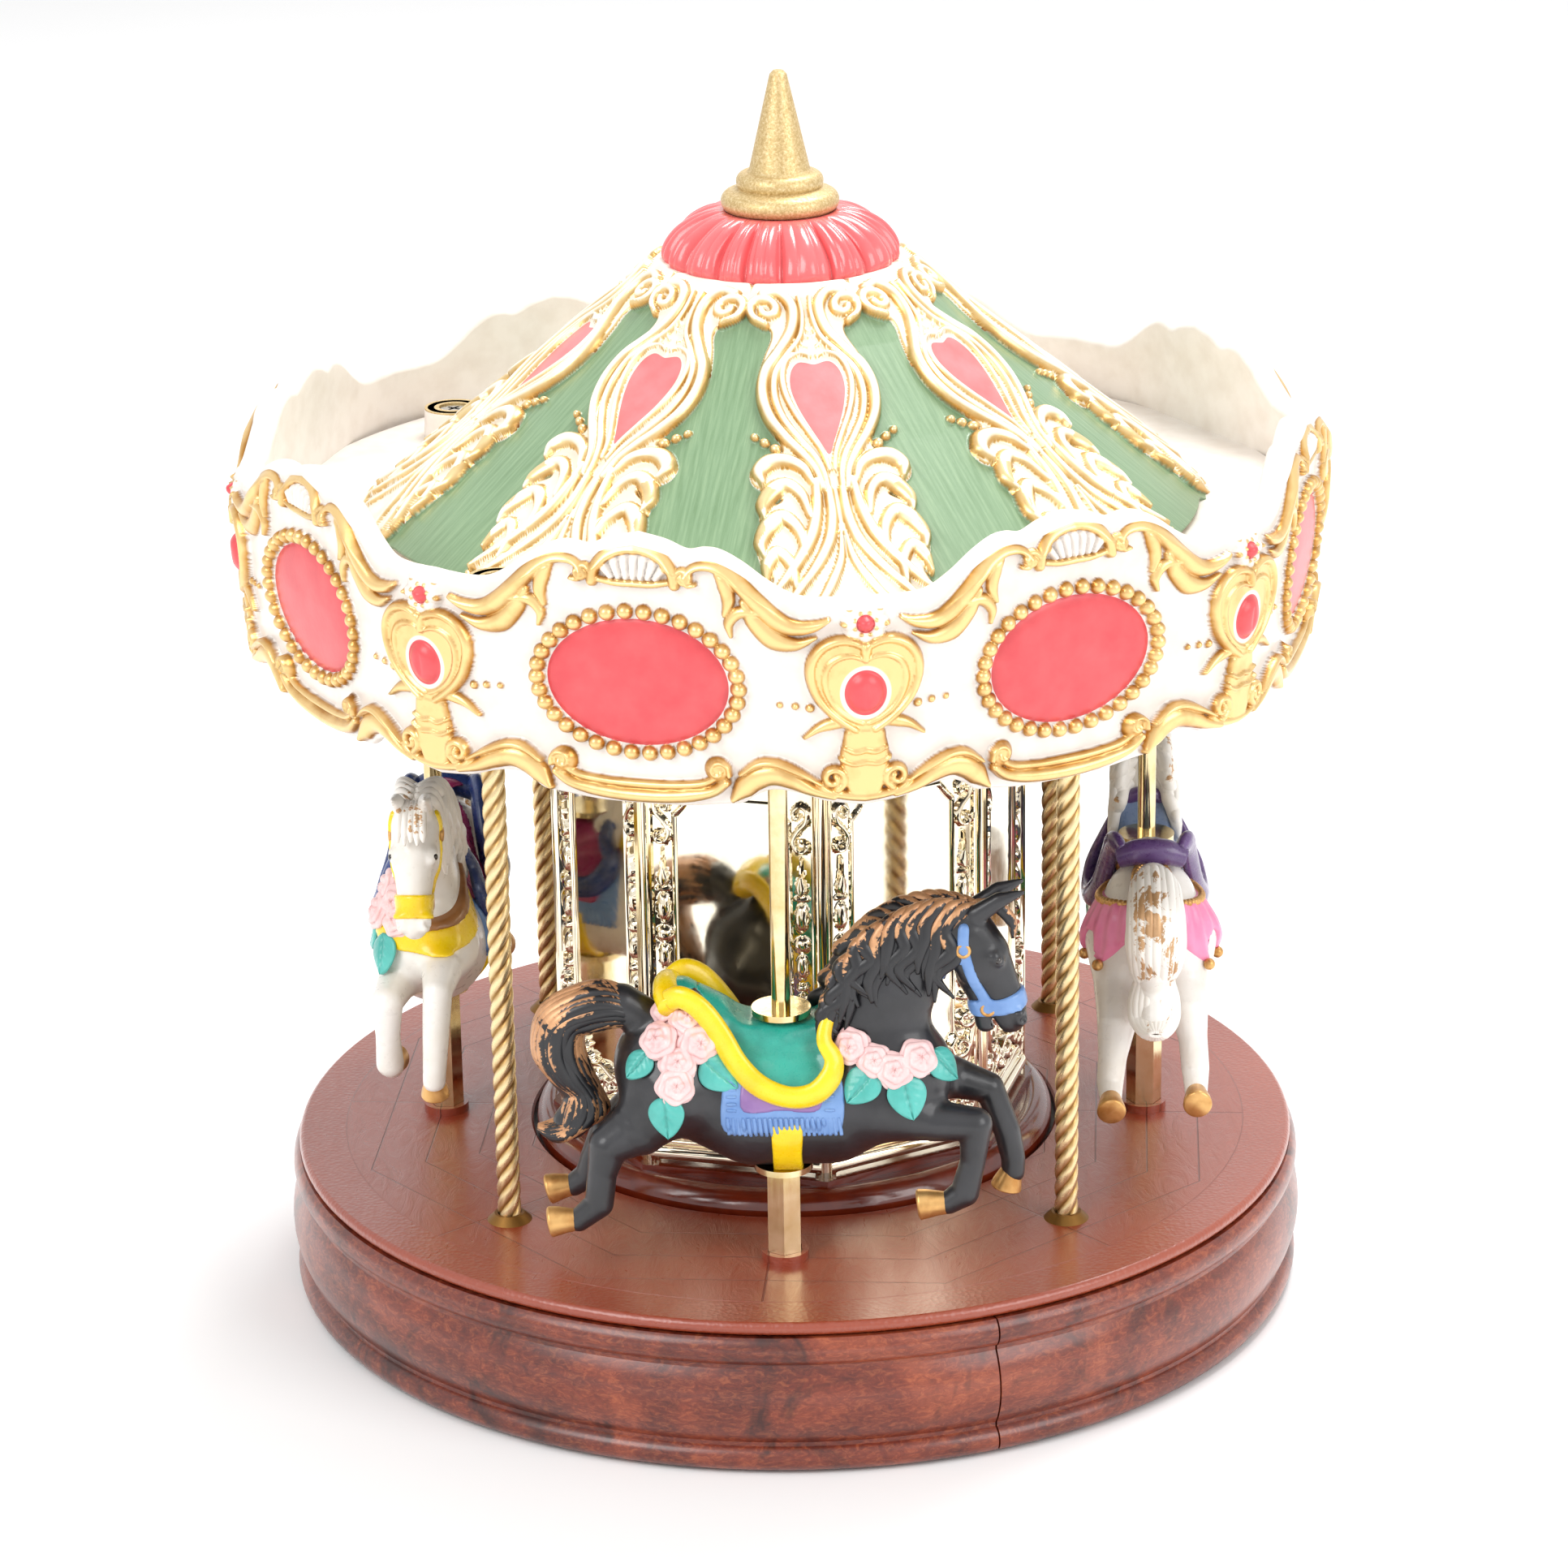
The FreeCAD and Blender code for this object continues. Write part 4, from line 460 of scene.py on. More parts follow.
def hair(name, ground, streak, wear_and_painted_shade, bare):
    """Modelled hair: strands whose ridges are brushed with a second colour, above a share left bare."""
    finish = Finish(name, coat=0.2, coat_roughness=0.3)
    patch = finish.noise(95.0, 5.0, 0.75, 0.6)
    edge = finish.math("ADD", finish.mark("ridge"), finish.remap(patch, 0.3, 0.7, -0.75, 0.75))
    brushed = finish.remap(edge, bare, bare + 0.12)
    finish.set(color=finish.mix(brushed, ground, finish.ramp(patch, (0.3, wear_and_painted_shade), (0.65, streak))),
               metallic=finish.remap(brushed, 0.0, 1.0, 0.0, 0.35), roughness=0.38)
    return finish.bump(finish.noise(700.0, 3.0), 0.03).material


def rope_brass():
    """Pale brass with painted shade: browner in the grooves between the strands, with a painted highlight on their
    backs.
    """
    finish = Finish("twist_brass")
    patch = finish.remap(finish.noise(300.0, 4.0), 0.3, 0.7, -0.15, 0.15)
    # ridge is 1 on a strand's back and 0 in a groove: the ramp below paints shade into the grooves and a highlight
    # on the backs, over tone that varies at random
    wear_and_painted_shade = finish.math("ADD", finish.mark("ridge"), patch)
    finish.set(color=finish.ramp(wear_and_painted_shade, (0.1, "865f2c"), (0.5, "c7a064"), (0.9, "ead2a2")), metallic=0.8,
               roughness=finish.remap(wear_and_painted_shade, 0.0, 1.0, 0.42, 0.27))
    return finish.bump(finish.noise(900.0), 0.03).material


FINISHES = {
    "burl": burl(),
    "dark_board": board(),
    "foot_felt": plain_paint("foot_felt", "4a4642", "2c2a28", 0.9, 0.0, 0.3, 2500.0),
    "zinc_screw": metal("zinc_screw", "c9ccd0", "8f9296", 0.3),
    "black_plastic": plain_paint("black_plastic", "1c1c1e", "121214", 0.4, 0.1),
    "nylon": plain_paint("nylon", "eae6da", "d8d2c2", 0.45, 0.0),
    "steel": metal("steel", "b8babd", "77797c", 0.25),
    "cast_frame": metal("cast_frame", "9fa1a4", "6c6e70", 0.45, 0.08, 500.0),
    "brass": metal("brass", "d2ac6a", "96753f", 0.24),
    "grey_plastic": plain_paint("grey_plastic", "8d8f92", "77797c", 0.45, 0.1),
    "deck_brown": parquet(),
    "twist_brass": rope_brass(),
    "plinth_brown": plain_paint("plinth_brown", "74260f", "5f1b0b", 0.2, 0.6, 0.02),
    "gold_plate": metal("gold_plate", "f8efda", "efe2c6", 0.07, 0.004, 400.0),
    "ivory_resin": relief_paint("ivory_resin", "ece5de", "e3dad1", "ecc98a", "b98236", "d0434a", "dd5458"),
    "roof_green": relief_paint("roof_green", "f3ebdd", "e9dfcc", "efd6a0", "c99d57", "dc6f70", "e78284"),
    "coral_resin": plain_paint("coral_resin", "e8686a", "dc5c5f", 0.22, 0.6, 0.05, 500.0),
    "gold_paint": speckled_gold(),
    "chrome_screw": metal("chrome_screw", "dfe3e6", "a9adb2", 0.12),
    "pole_brass": metal("pole_brass", "ead9af", "cdb27a", 0.14, 0.02, 700.0, (1.0, 1.0, 0.06)),
    "black_horse": plain_paint("black_horse", "26262a", "19191c", 0.38, 0.3, 0.08, 420.0),
    "white_horse": plain_paint("white_horse", "efebe5", "e4ddd2", 0.32, 0.35, 0.05, 500.0),
}


def dress_nodes():
    """Gives every CAD node the finish that its material slot names."""
    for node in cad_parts.values():
        for place in node.material_slots:
            place.material = FINISHES[place.material.name]


# ---------------------------------------------------------------- canopy wall

CROWN_RADIUS = 121.7
CROWN_LEVELS = [(150, -3.4), (166, -2.4), (184, -0.8), (200, 0.0), (217, -0.2)]  # its flare, by height
CROWN_SWELL = 2.3  # by which the wall stands out at the shields and in at the ovals
SECTOR_HALF = 47.9  # from a shield's middle to an oval's middle, along the wall
CROWN_WALL = 3.0
CROWN_THICKER = 3.0  # by which the wall is thicker at its top
CROWN_ROLL = 2.0  # radius of its rolled top
CROWN_LIP = 0.8  # height of its rounded foot
GEM = 181.4  # height of the middle of gems and ovals
FLOWER = 196.3  # height of the flowers over the shields
# of its petals and their beads: distance from the middle, radians further round, shape of the dome
PETALS = [(3.0, 0, 2.0, 1.7, 2.0, None), (4.4, 0, 0.75, 0.65, 2.4), (2.3, 0.39, 0.5, 0.5, 2.5)]
BOSS_ANGLE, BOSS_CIRCLE = 142.4, 100.0
# upper and lower edge of half a sector: (along the wall, height)
CROWN_TOP = [(0, 201.3), (8, 201.0), (14, 201.6), (19.5, 204.4), (25, 208.2), (29.5, 210.4), (33, 210.8),
             (37, 210.2), (42, 212.0), (SECTOR_HALF, 213.2)]
CROWN_BOTTOM = [(0, 155.5), (8, 156.6), (14, 158.4), (19, 158.9), (22.5, 157.6), (25.5, 155.6), (30, 155.0),
                (38, 154.0), (SECTOR_HALF, 153.7)]


def crown_relief(across, up):
    """Ornament of half a sector: a heart shield at 0, and an oval at the far side."""
    art = Relief(across, up, ("gilt", "coral", "green"))
    # shield: a heart with two ridges round a gem
    art.plate([(-3, 192.4), (0, 192.4), (3, 193.4), (6.3, 193.6), (9.6, 191.8), (11.6, 188.6), (12.2, 185),
               (11.0, 180.8), (8.8, 177.4), (5.6, 174.4), (2, 171.6), (-3, 171.6)], 1.7, 1.2, "gilt")
    art.stroke([(0.3, 191.4), (2.8, 192.6), (5.6, 192.8), (8.6, 191.4), (10.6, 188.6), (11.0, 185.2),
                (9.9, 181.2), (7.8, 178), (4.8, 175.2), (2, 173.2)], [1.0, 1.3, 1.3, 1.2, 1.0], 2.7)
    art.stroke([(0.4, 188.6), (2.8, 189.5), (5.2, 189.2), (7.4, 187.6), (8.3, 184.6), (7.6, 181), (5.8, 178),
                (3.2, 175.8), (0.6, 174.6)], [0.5, 1.0, 1.1, 0.9, 0.7], 2.3)
    art.dome(0, GEM, 5.2, 5.9, 1.4, None, True)
    gem = [(4.3 * math.cos(turn), GEM + 5.0 * math.sin(turn)) for turn in np.linspace(-2.1, 2.1, 17)]
    art.plate(gem, 3.4, 3.6, "coral", True)
    art.stroke([(0.0, 188.6), (0.2, 190.4), (0.8, 192)], [0.9, 1.2, 0.8], 2.9)
    # leaves, knot and curl below the heart
    art.stroke([(1.2, 174.6), (5.4, 174.6), (9.2, 173.6), (12.4, 171.4)], [0.7, 1.4, 1.5, 1.0, 0.5], 1.9)
    art.plate([(-6, 173.5), (0, 174), (3.8, 173.2), (4.6, 170.5), (5.2, 167.2), (4.8, 163), (3.2, 158.2),
               (0, 156.8), (-6, 157)], 1.9, 1.4, "gilt")
    art.stroke([(0, 168.6), (2.2, 168.2), (4.4, 169.2)], [0.8, 0.8, 0.5], 2.6)
    art.stroke([(0, 165.9), (2.6, 165.6), (5.0, 166.6)], [0.8, 0.8, 0.5], 2.6)
    art.dome(4.9, 166.8, 0.8, 0.8, 2.6)
    art.stroke(spiral(6.6, 162.4, 2.6, 250, -1.3), [1.1, 1.1, 0.9, 0.8], 2.6)
    art.stroke([(0, 158.0), (4, 158.4), (7.4, 159.3), (9.6, 161.3)], [1.3, 1.1, 0.8], 2.1)
    # leaf along the lower edge
    art.stroke([(6.5, 158.3), (11, 159.8), (15, 161.8), (19, 162.9), (22.4, 162), (25, 159.8), (27.6, 156.9)],
               [0.9, 1.5, 2.2, 2.6, 2.8, 2.5, 0.8], 2.4)
    art.stroke([(9, 161.2), (13.5, 163.7), (18.5, 165.7), (22.5, 165.3), (26, 162.8)], [0.4, 1.1, 1.0, 0.5], 2.9)
    # ball and double rail below the oval
    art.dome(30.8, 163.2, 3.0, 3.0, 2.5)
    art.stroke(spiral(30.6, 163.3, 2.5, 200, -1.0), [0.7, 0.6], 3.1)
    art.stroke([(31, 161.6), (34, 160.0), (38, 159.3), (43, 158.9), (49, 158.8)], [0.9, 1.0], 1.9)
    art.stroke([(29, 160.6), (32, 158.4), (37, 157.1), (43, 156.4), (49, 156.2)], [1.1, 1.7, 1.7], 2.5)
    # oval with its beads
    art.dome(SECTOR_HALF, GEM, 20.6, 14.6, 0.6, None)
    art.dome(SECTOR_HALF, GEM, 19.9, 14.0, 1.6, "coral", True)
    for k in range(18):
        turn = math.radians(90 + (k + 0.5) * 360 / 34)
        art.dome(SECTOR_HALF + 22.0 * math.cos(turn), GEM + 15.7 * math.sin(turn), 1.85, 1.8, 2.4)
    # three beads beside the shield
    for x, y, radius in ((11.2, 177.8, 1.0), (14.2, 178.2, 0.85), (17.4, 178.4, 0.75)):
        art.dome(x, y, radius, radius, 1.2)
    # flower over the shield
    for angle in range(-90, 91, 45):
        for reach, past, *shape in PETALS:
            turn = math.radians(angle) + past
            art.dome(reach * math.cos(turn), FLOWER + reach * math.sin(turn), *shape)
    art.dome(0, FLOWER, 1.9, 1.9, 2.9, "coral", True)
    # long leaf that climbs from the shield to the crest
    art.stroke([(7.4, 197.3), (10.5, 195.9), (14.5, 195.6), (18, 197.2), (21.5, 200.4), (24.5, 203.6),
                (27.4, 206.3), (31, 207.7), (34.6, 207.4), (36.6, 205.6), (36.2, 203.8), (34.6, 203.9)],
               [0.6, 1.4, 1.9, 2.2, 2.1, 1.9, 1.6, 1.2, 1.0, 0.9, 0.8, 0.6], 2.4)
    art.stroke([(10, 193.4), (14, 191.9), (18.5, 192.9), (22.2, 196.6), (24.6, 200.6)],
               [0.5, 1.5, 2.4, 2.1, 0.9], 1.7)
    art.stroke([(21.5, 198.5), (25.4, 198.4), (27.6, 196.0), (27.2, 193.2)], [0.8, 1.5, 1.2, 0.5], 1.9)
    art.stroke([(29.6, 206.6), (28.2, 203.8), (27.6, 200.6), (28.6, 197.6)], [1.2, 1.8, 1.5, 0.5], 1.8)
    # shell crest above the oval, in an arch of gold
    for k in range(4):
        foot, tip = SECTOR_HALF - 1.6 * k, SECTOR_HALF - 2.1 * k
        art.stroke([(foot, 204.6), (tip, 208.6 - 0.25 * k * k)], [0.7, 1.0], 1.9, None)
    art.stroke([(SECTOR_HALF + 1, 203.2), (44, 203.2), (40.6, 203.8)], [0.9, 0.8], 1.8)
    art.stroke([(SECTOR_HALF + 1, 210.6), (45.2, 210.3), (41.8, 208.8), (39.6, 206.2), (39.0, 203.4)],
               [1.2, 1.3, 1.4, 1.3], 2.4)
    art.stroke(spiral(37.0, 205.0, 1.9, 20, 1.1), [0.8, 0.7], 2.2)
    return art


def wall_radius(height, swell_share):
    """Radius of the canopy's wall at a height; swell_share is 1 at a shield and -1 at an oval."""
    levels = np.array(CROWN_LEVELS, float)
    return CROWN_RADIUS + np.interp(height, levels[:, 0], levels[:, 1]) + CROWN_SWELL * swell_share


def canopy_crown():
    """The scalloped wall of the canopy, one closed skin: face with its relief, rolled top, inside, foot."""
    columns, rows = 146, 170
    share = np.linspace(0, 1, columns)
    along = share * SECTOR_HALF
    low, high = (np.interp(along, *smooth_path(edge, 200).T) for edge in (CROWN_BOTTOM, CROWN_TOP))
    foot, shoulder = low + CROWN_LIP, high - CROWN_ROLL
    swell = np.cos(math.pi * share)
    rise = np.linspace(0, 1, rows)[:, None]
    up = foot + (shoulder - foot) * rise
    art = crown_relief(np.broadcast_to(along, up.shape), up)
    # the relief runs out just under the rolled top
    art.height *= np.minimum(1, 0.25 + (1 - rise) * 14)
    face = wall_radius(up, swell) + art.height
    edge, inner = face[-1], wall_radius(high, swell) - CROWN_WALL - CROWN_THICKER
    rest = [((edge + inner) / 2 + (edge - inner) / 2 * math.cos(turn), shoulder + CROWN_ROLL * math.sin(turn))
            for turn in np.radians(np.linspace(12, 180, 15))]
    for drop in np.linspace(0.1, 1, 10):
        level = shoulder + (foot - shoulder) * drop
        rest.append((wall_radius(level, swell) - CROWN_WALL - CROWN_THICKER * (1 - drop) ** 2, level))
    for turn in np.radians(np.linspace(200, 340, 6)):
        rest.append((wall_radius(low, swell) + CROWN_WALL / 2 * (math.cos(turn) - 1),
                     foot + CROWN_LIP * math.sin(turn)))
    crown = sector_skin("canopy_wall", "ivory_resin", COLUMN_ANGLE, (face, up), rest, art.marks(), True)
    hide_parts("canopy_crown")


def canopy_tray():
    """Floor between the wall and the roof, with the four raised bosses that hold the screw cups."""
    parts = [lathe([(88, 184), (117, 184), (117, 187), (88.6, 187), (88, 186.4)])]
    rounded = [(6.2 + 0.8 * math.cos(turn), 193.2 + 0.8 * math.sin(turn))
               for turn in np.radians(np.linspace(0, 90, 5))]
    boss, faces = lathe([(4.6, 186), (7.4, 186), (7.0, 191)] + rounded + [(4.6, 194)], 64)
    for k in range(4):
        parts.append((boss + around(BOSS_CIRCLE, math.radians(BOSS_ANGLE + 90 * k), 0), faces))
    points, faces, _ = merge([unmarked(*part) for part in parts])
    blank = np.full(len(points), NO_PAINT)
    tray = mesh_piece("canopy_tray", points, faces, FINISHES["ivory_resin"], "base",
                      {name: blank for name in ("gilt", "coral", "green")}, 40)
    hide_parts("canopy_crown")


# ---------------------------------------------------------------- roof

ROOF_LINE = [(27.0, 243.5), (40.0, 231.9), (60.0, 215.6), (94.5, 188.2)]
ROOF_WALL = 2.4
ROOF_TILT = math.radians(39)
ROOF_SHELF = (22.0, 242.2, 243.0)  # how far the roof runs in under its cap, and the shelf's two heights
ROOF_TURN = 1.6  # degrees from the shields to the roof's ribs
BRUSH_ACROSS, BRUSH_DOWN = 1.1, 0.06  # how fine the brush marks are across and down the slope
RIB_GILT = 0.88  # share of a strand's height above which it is ivory


def roof_relief(across, down):
    """Ornament of half a sector: the rib's middle at 0, the green panel's middle at the far side."""
    art = Relief(across, down, ("gilt", "coral", "green"))
    art.paint["green"] = np.full_like(across, 1.0)
    ivory = Relief(across, down, ("ivory",))
    # outline of the rib, which hides the green
    body = [(-4, -2), (8, -2), (12.6, 4), (12.4, 9.5), (8.8, 11.4), (8.4, 14), (10.6, 19), (12.8, 25),
            (13.4, 31), (12.4, 37), (10.2, 42), (10.4, 44.6), (14.6, 46), (17.6, 49.6), (17.2, 53.2),
            (13.6, 55.4), (11.8, 56.8), (14.8, 59), (17.2, 61.6), (16.4, 65.4), (18.6, 69.6), (18.4, 73.4),
            (16.6, 77), (17.4, 82), (13, 93), (-4, 93)]
    art.plate(body, 0.9, 1.0, None)
    ivory.plate(body, 1.0, 1.0, "ivory")
    art.paint["green"] = np.minimum(art.paint["green"], -ivory.paint["ivory"])
    # pair of curls at the top, running into the strands that frame the heart
    art.stroke(spiral(8.5, 7.2, 3.9, 80, -1.2), [1.1, 1.3, 1.3, 1.1], 2.4)
    art.stroke([(8.6, 3.4), (5.4, 2.9), (3.2, 5.4), (2.9, 9), (4.2, 13.6), (7.4, 18.6), (10.6, 23.4),
                (12.1, 29.4), (11.4, 35.6), (8.8, 41), (5.8, 45.6), (3.6, 50), (2.6, 55)],
               [1.4, 1.6, 1.5, 1.5, 1.6, 1.4, 0.9], 2.6)
    art.stroke([(1.2, 4), (1.0, 9), (2.2, 14.5), (5.4, 19), (8.6, 24), (9.6, 30), (8.6, 36), (6.0, 41.4),
                (3.4, 46), (1.9, 51), (1.5, 57)], [0.6, 0.8, 1.0, 1.1, 1.2, 1.1, 0.7], 2.2)
    art.stroke([(0.6, 19.6), (3.0, 18.8), (5.9, 20.6), (7.3, 25), (7.1, 30), (5.7, 35), (3.4, 40.4),
                (1.4, 45.4), (0.6, 50)], [0.5, 0.9, 1.0, 0.9, 0.7], 2.0)
    art.stroke([(0, 13), (0.9, 12.2), (1.2, 13.8), (0.2, 14.4)], [0.5, 0.6], 1.5)
    art.stroke([(1, 17), (3.4, 15.2), (3.2, 17.8)], [0.5, 0.6, 0.4], 1.5)
    art.plate([(-2, 21.2), (0, 21.6), (3.2, 20.9), (5.2, 23.2), (5.9, 27.4), (5.2, 32), (3.6, 37), (1.6, 42),
               (0, 45.6), (-2, 42)], 0.7, 1.4, "coral", True)
    for x, y, size in ((11.2, 43.4, 1.3), (13.3, 41.8, 1.15), (15.3, 40.4, 1.0)):
        art.dome(x, y, size, size, 1.5)
    # acanthus leaf: strands that fan out from the rib into broad lobes
    art.stroke([(4.6, 53.6), (6.2, 49.4), (9.4, 47.2), (13, 47.5), (15.6, 50.2), (15.2, 53.2)],
               [0.8, 1.6, 2.1, 2.3, 1.9, 0.8], 2.7)
    art.stroke([(6.4, 62), (7.4, 56.4), (10.0, 53.4), (13.0, 54.6), (15.8, 58.6), (16.0, 62)],
               [0.8, 1.6, 2.0, 2.2, 1.8, 0.6], 2.5)
    art.stroke([(8.6, 72), (9.2, 65.6), (12.0, 61.8), (15.2, 64.0), (17.6, 68.4), (17.4, 72)],
               [0.8, 1.7, 2.2, 2.3, 1.7, 0.6], 2.5)
    art.stroke([(11.8, 80), (12.0, 74.4), (14.4, 71.0), (16.8, 74.0), (17.8, 78.6)],
               [0.8, 1.6, 2.0, 1.7, 0.6], 2.4)
    art.stroke([(1.5, 55), (1.7, 62), (3.2, 68.4), (6.6, 74.6), (11.0, 80.6), (15.0, 86)],
               [1.1, 1.5, 1.6, 1.5, 1.3, 0.8], 2.2)
    art.stroke([(3.9, 53), (4.7, 60), (6.6, 66.6), (9.8, 72.6), (14, 78.6), (18, 84)],
               [1.1, 1.5, 1.7, 1.6, 1.3, 0.8], 2.6)
    art.stroke([(0.4, 66), (1.4, 73), (4.0, 79), (7.4, 84.6), (10.6, 88.6)], [0.5, 1.2, 1.5, 1.3, 0.8], 1.9)
    art.stroke([(0, 92), (4, 90.5), (9, 91.5), (14, 89.4), (17.6, 85.6)], [1.3, 1.5, 1.7, 1.5, 1.0], 2.2)
    # the strands and leaves are ivory on their backs, and gold in and beside their grooves
    rib = (ivory.paint["ivory"] > 0.1) & (art.paint["coral"] < 0)
    art.paint["gilt"] = np.where(rib, (RIB_GILT - art.crest) * 2, art.paint["gilt"])
    return art


def roof():
    """Eight green panels between eight ribs, one closed skin on the roof's cone."""
    line = np.array(ROOF_LINE)
    steps = np.concatenate([[0], np.cumsum(np.linalg.norm(np.diff(line, axis=0), axis=1))])
    columns, rows = 108, 250
    share = np.linspace(0, 1, columns)
    # the leaves at the foot of a rib reach past the edge of the panels, less steeply
    leaves = 5.5 * ease((0.62 - share) / 0.25) * (1 + 0.25 * np.sin(share * 38))
    down = np.linspace(0, 1, rows)[:, None] * (steps[-1] + leaves)
    beyond = np.maximum(down - steps[-1], 0)
    radius = np.interp(down, steps, line[:, 0]) + beyond * 0.8
    height = np.interp(down, steps, line[:, 1]) - beyond * 0.6
    across = radius * share * math.pi / SECTORS
    art = roof_relief(across, down)
    lift = art.height * (0.4 + 0.6 * ease((steps[-1] + 4 - down) / 6))
    lean, rise = math.sin(ROOF_TILT), math.cos(ROOF_TILT)
    face = (radius + lift * lean, height + lift * rise)
    rest = [(radius[row] - ROOF_WALL * lean, height[row] - ROOF_WALL * rise) for row in range(rows - 1, -1, -25)]
    reach_in, *levels = ROOF_SHELF
    rest += [(np.full(columns, reach_in), np.full(columns, level)) for level in levels]
    brush = {"across": ((across[:, -1:] - across) * BRUSH_ACROSS, 0.0), "down": (down * BRUSH_DOWN, 0.0)}
    cone = sector_skin("painted_roof", "roof_green", COLUMN_ANGLE + ROOF_TURN, face, rest, {**art.marks(), **brush})
    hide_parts("roof")


CAP_OUTLINE = [(12.4, 254.9), (15, 255.0), (19, 253.9), (23, 251.6), (25.6, 248.8), (26.9, 246.0), (26.6, 243.9),
               (25.0, 243.0), (23.0, 243.0)]
CAP_UNDER = [(20.0, 243.6), (16, 246), (12.4, 249)]
CAP_PETALS = 17


def roof_cap():
    """Fluted coral rosette under the finial, with a scalloped rim."""
    turn = full_turn(900)
    phase = CAP_PETALS * turn + 1.1 * np.sin(3 * turn) + 0.7 * np.sin(7 * turn + 1)
    crease = 1 - np.abs(np.sin(phase / 2)) ** 0.55
    fine = 1 - np.abs(np.sin(phase * 1.5 + 0.6)) ** 0.7
    radius, height = smooth_path(CAP_OUTLINE, 54).T[:, :, None]
    share = np.linspace(0, 1, len(radius))[:, None]
    deep = ease(share * 2.6)
    outside = around(radius - deep * (crease * 2.4 + fine * 0.5), turn,
                     height - deep * ease((1 - share) * 3) * (crease * 1.7 + fine * 0.4))
    radius, height = np.array(CAP_UNDER).T[:, :, None]
    rings = np.vstack([outside, around(radius, turn, height)])
    cap = mesh_piece("fluted_cap", rings.reshape(-1, 3), grid_faces(*rings.shape[:2], True, True),
                     FINISHES["coral_resin"], "base")
    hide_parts("roof_cap")


# ---------------------------------------------------------------- column and poles

PANEL_HALF = 20.3
PANEL_FACE, PANEL_BACK = 50.3, 48.4  # from the axis to the mirror's face and back
PANEL_FOOT, PANEL_TOP = 41.6, 159.8
STRIP = 16.1  # from a panel's middle to that of its strip of scrolls
# in that strip: height, half width and half height of each bead
STRIP_BEADS = [(104.8, 1.6, 3.4), (98.4, 1.9, 1.9), (93.0, 1.4, 3.0), (88.2, 1.3, 1.0), (83.6, 1.6, 3.0),
               (78.6, 1.6, 1.4), (145.2, 1.6, 3.4), (138.6, 1.9, 1.9), (152.0, 1.4, 3.0)]
# curls at a panel's foot: middle, radius, first angle and number of turns
PANEL_CURLS = [(16.2, 73.4, 2.5, 60, -1.2), (14.9, 66.6, 2.9, 120, 1.3), (16.4, 59.0, 2.5, 0, -1.2),
               (11.4, 61.0, 2.4, 200, 1.2), (7.6, 56.4, 2.2, 120, -1.2), (12.2, 54.2, 2.3, 30, 1.2),
               (16.8, 52.4, 2.2, 90, 1.2), (3.4, 54.0, 1.9, 60, 1.2)]


def panel_relief(across, up):
    """Half of a mirror panel: frame lines, a strip of scrolls and beads, leaves at the foot."""
    art = Relief(across, up, ())
    art.stroke([(13.3, 62), (13.3, 127.2)], [0.5, 0.5], 0.9, None)
    art.stroke([(13.3, 127.2), (9.6, 131.4)], [0.5, 0.5], 0.9, None)
    art.stroke([(9.8, 131.4), (-1, 131.4)], [0.5, 0.5], 0.9, None)
    art.stroke([(18.9, PANEL_FOOT), (18.9, PANEL_TOP)], [0.55, 0.55], 1.0, None)
    art.stroke([(20.3, PANEL_FOOT), (20.3, PANEL_TOP)], [0.9, 0.9], 1.7, None)
    scroll = [(-0.2, 129.2), (-1.2, 128.6), (-1.5, 130.2), (0, 131.6), (1.6, 130.4), (1.3, 127.8), (-0.4, 125.8),
              (-1.6, 123.4), (-1.0, 121.2), (0.9, 120.8), (1.6, 122.4), (0.2, 123.2)]
    art.stroke([(STRIP + x, height) for x, height in scroll], [0.55, 0.75, 0.75, 0.55], 1.5, None)
    art.stroke([(STRIP, height) for height in (119, 115, 112, 110.6)], [0.3, 0.6, 1.4, 0.7], 1.5, None)
    art.dome(STRIP, 109.3, 1.6, 0.7, 1.3, None)
    for height, wide, high in STRIP_BEADS:
        art.dome(STRIP, height, wide, high, 1.6, None)
    for x, y, size, start, turns in PANEL_CURLS:
        art.stroke(spiral(x, y, size, start, turns), [0.9, 1.0, 0.8, 0.7], 2.0, None)
        art.dome(x, y, 0.9, 0.9, 1.9, None)
    art.stroke([(17.4, 77), (18.0, 71), (16.6, 64), (13.4, 60), (9.6, 58.4), (5.6, 57), (1.0, 58.2), (-1, 58.4)],
               [0.6, 1.1, 1.3, 1.3, 1.1, 0.7], 1.7, None)
    art.stroke([(-1, 50.4), (5, 50.0), (12, 50.4), (18, 49.6)], [0.7, 1.1, 0.8], 1.4, None)
    art.stroke([(-1, 47.6), (PANEL_HALF, 47.6)], [0.5, 0.5], 1.0, None)
    art.stroke([(-1, 44.6), (PANEL_HALF, 44.6)], [1.9, 1.9], 2.0, None)
    return art


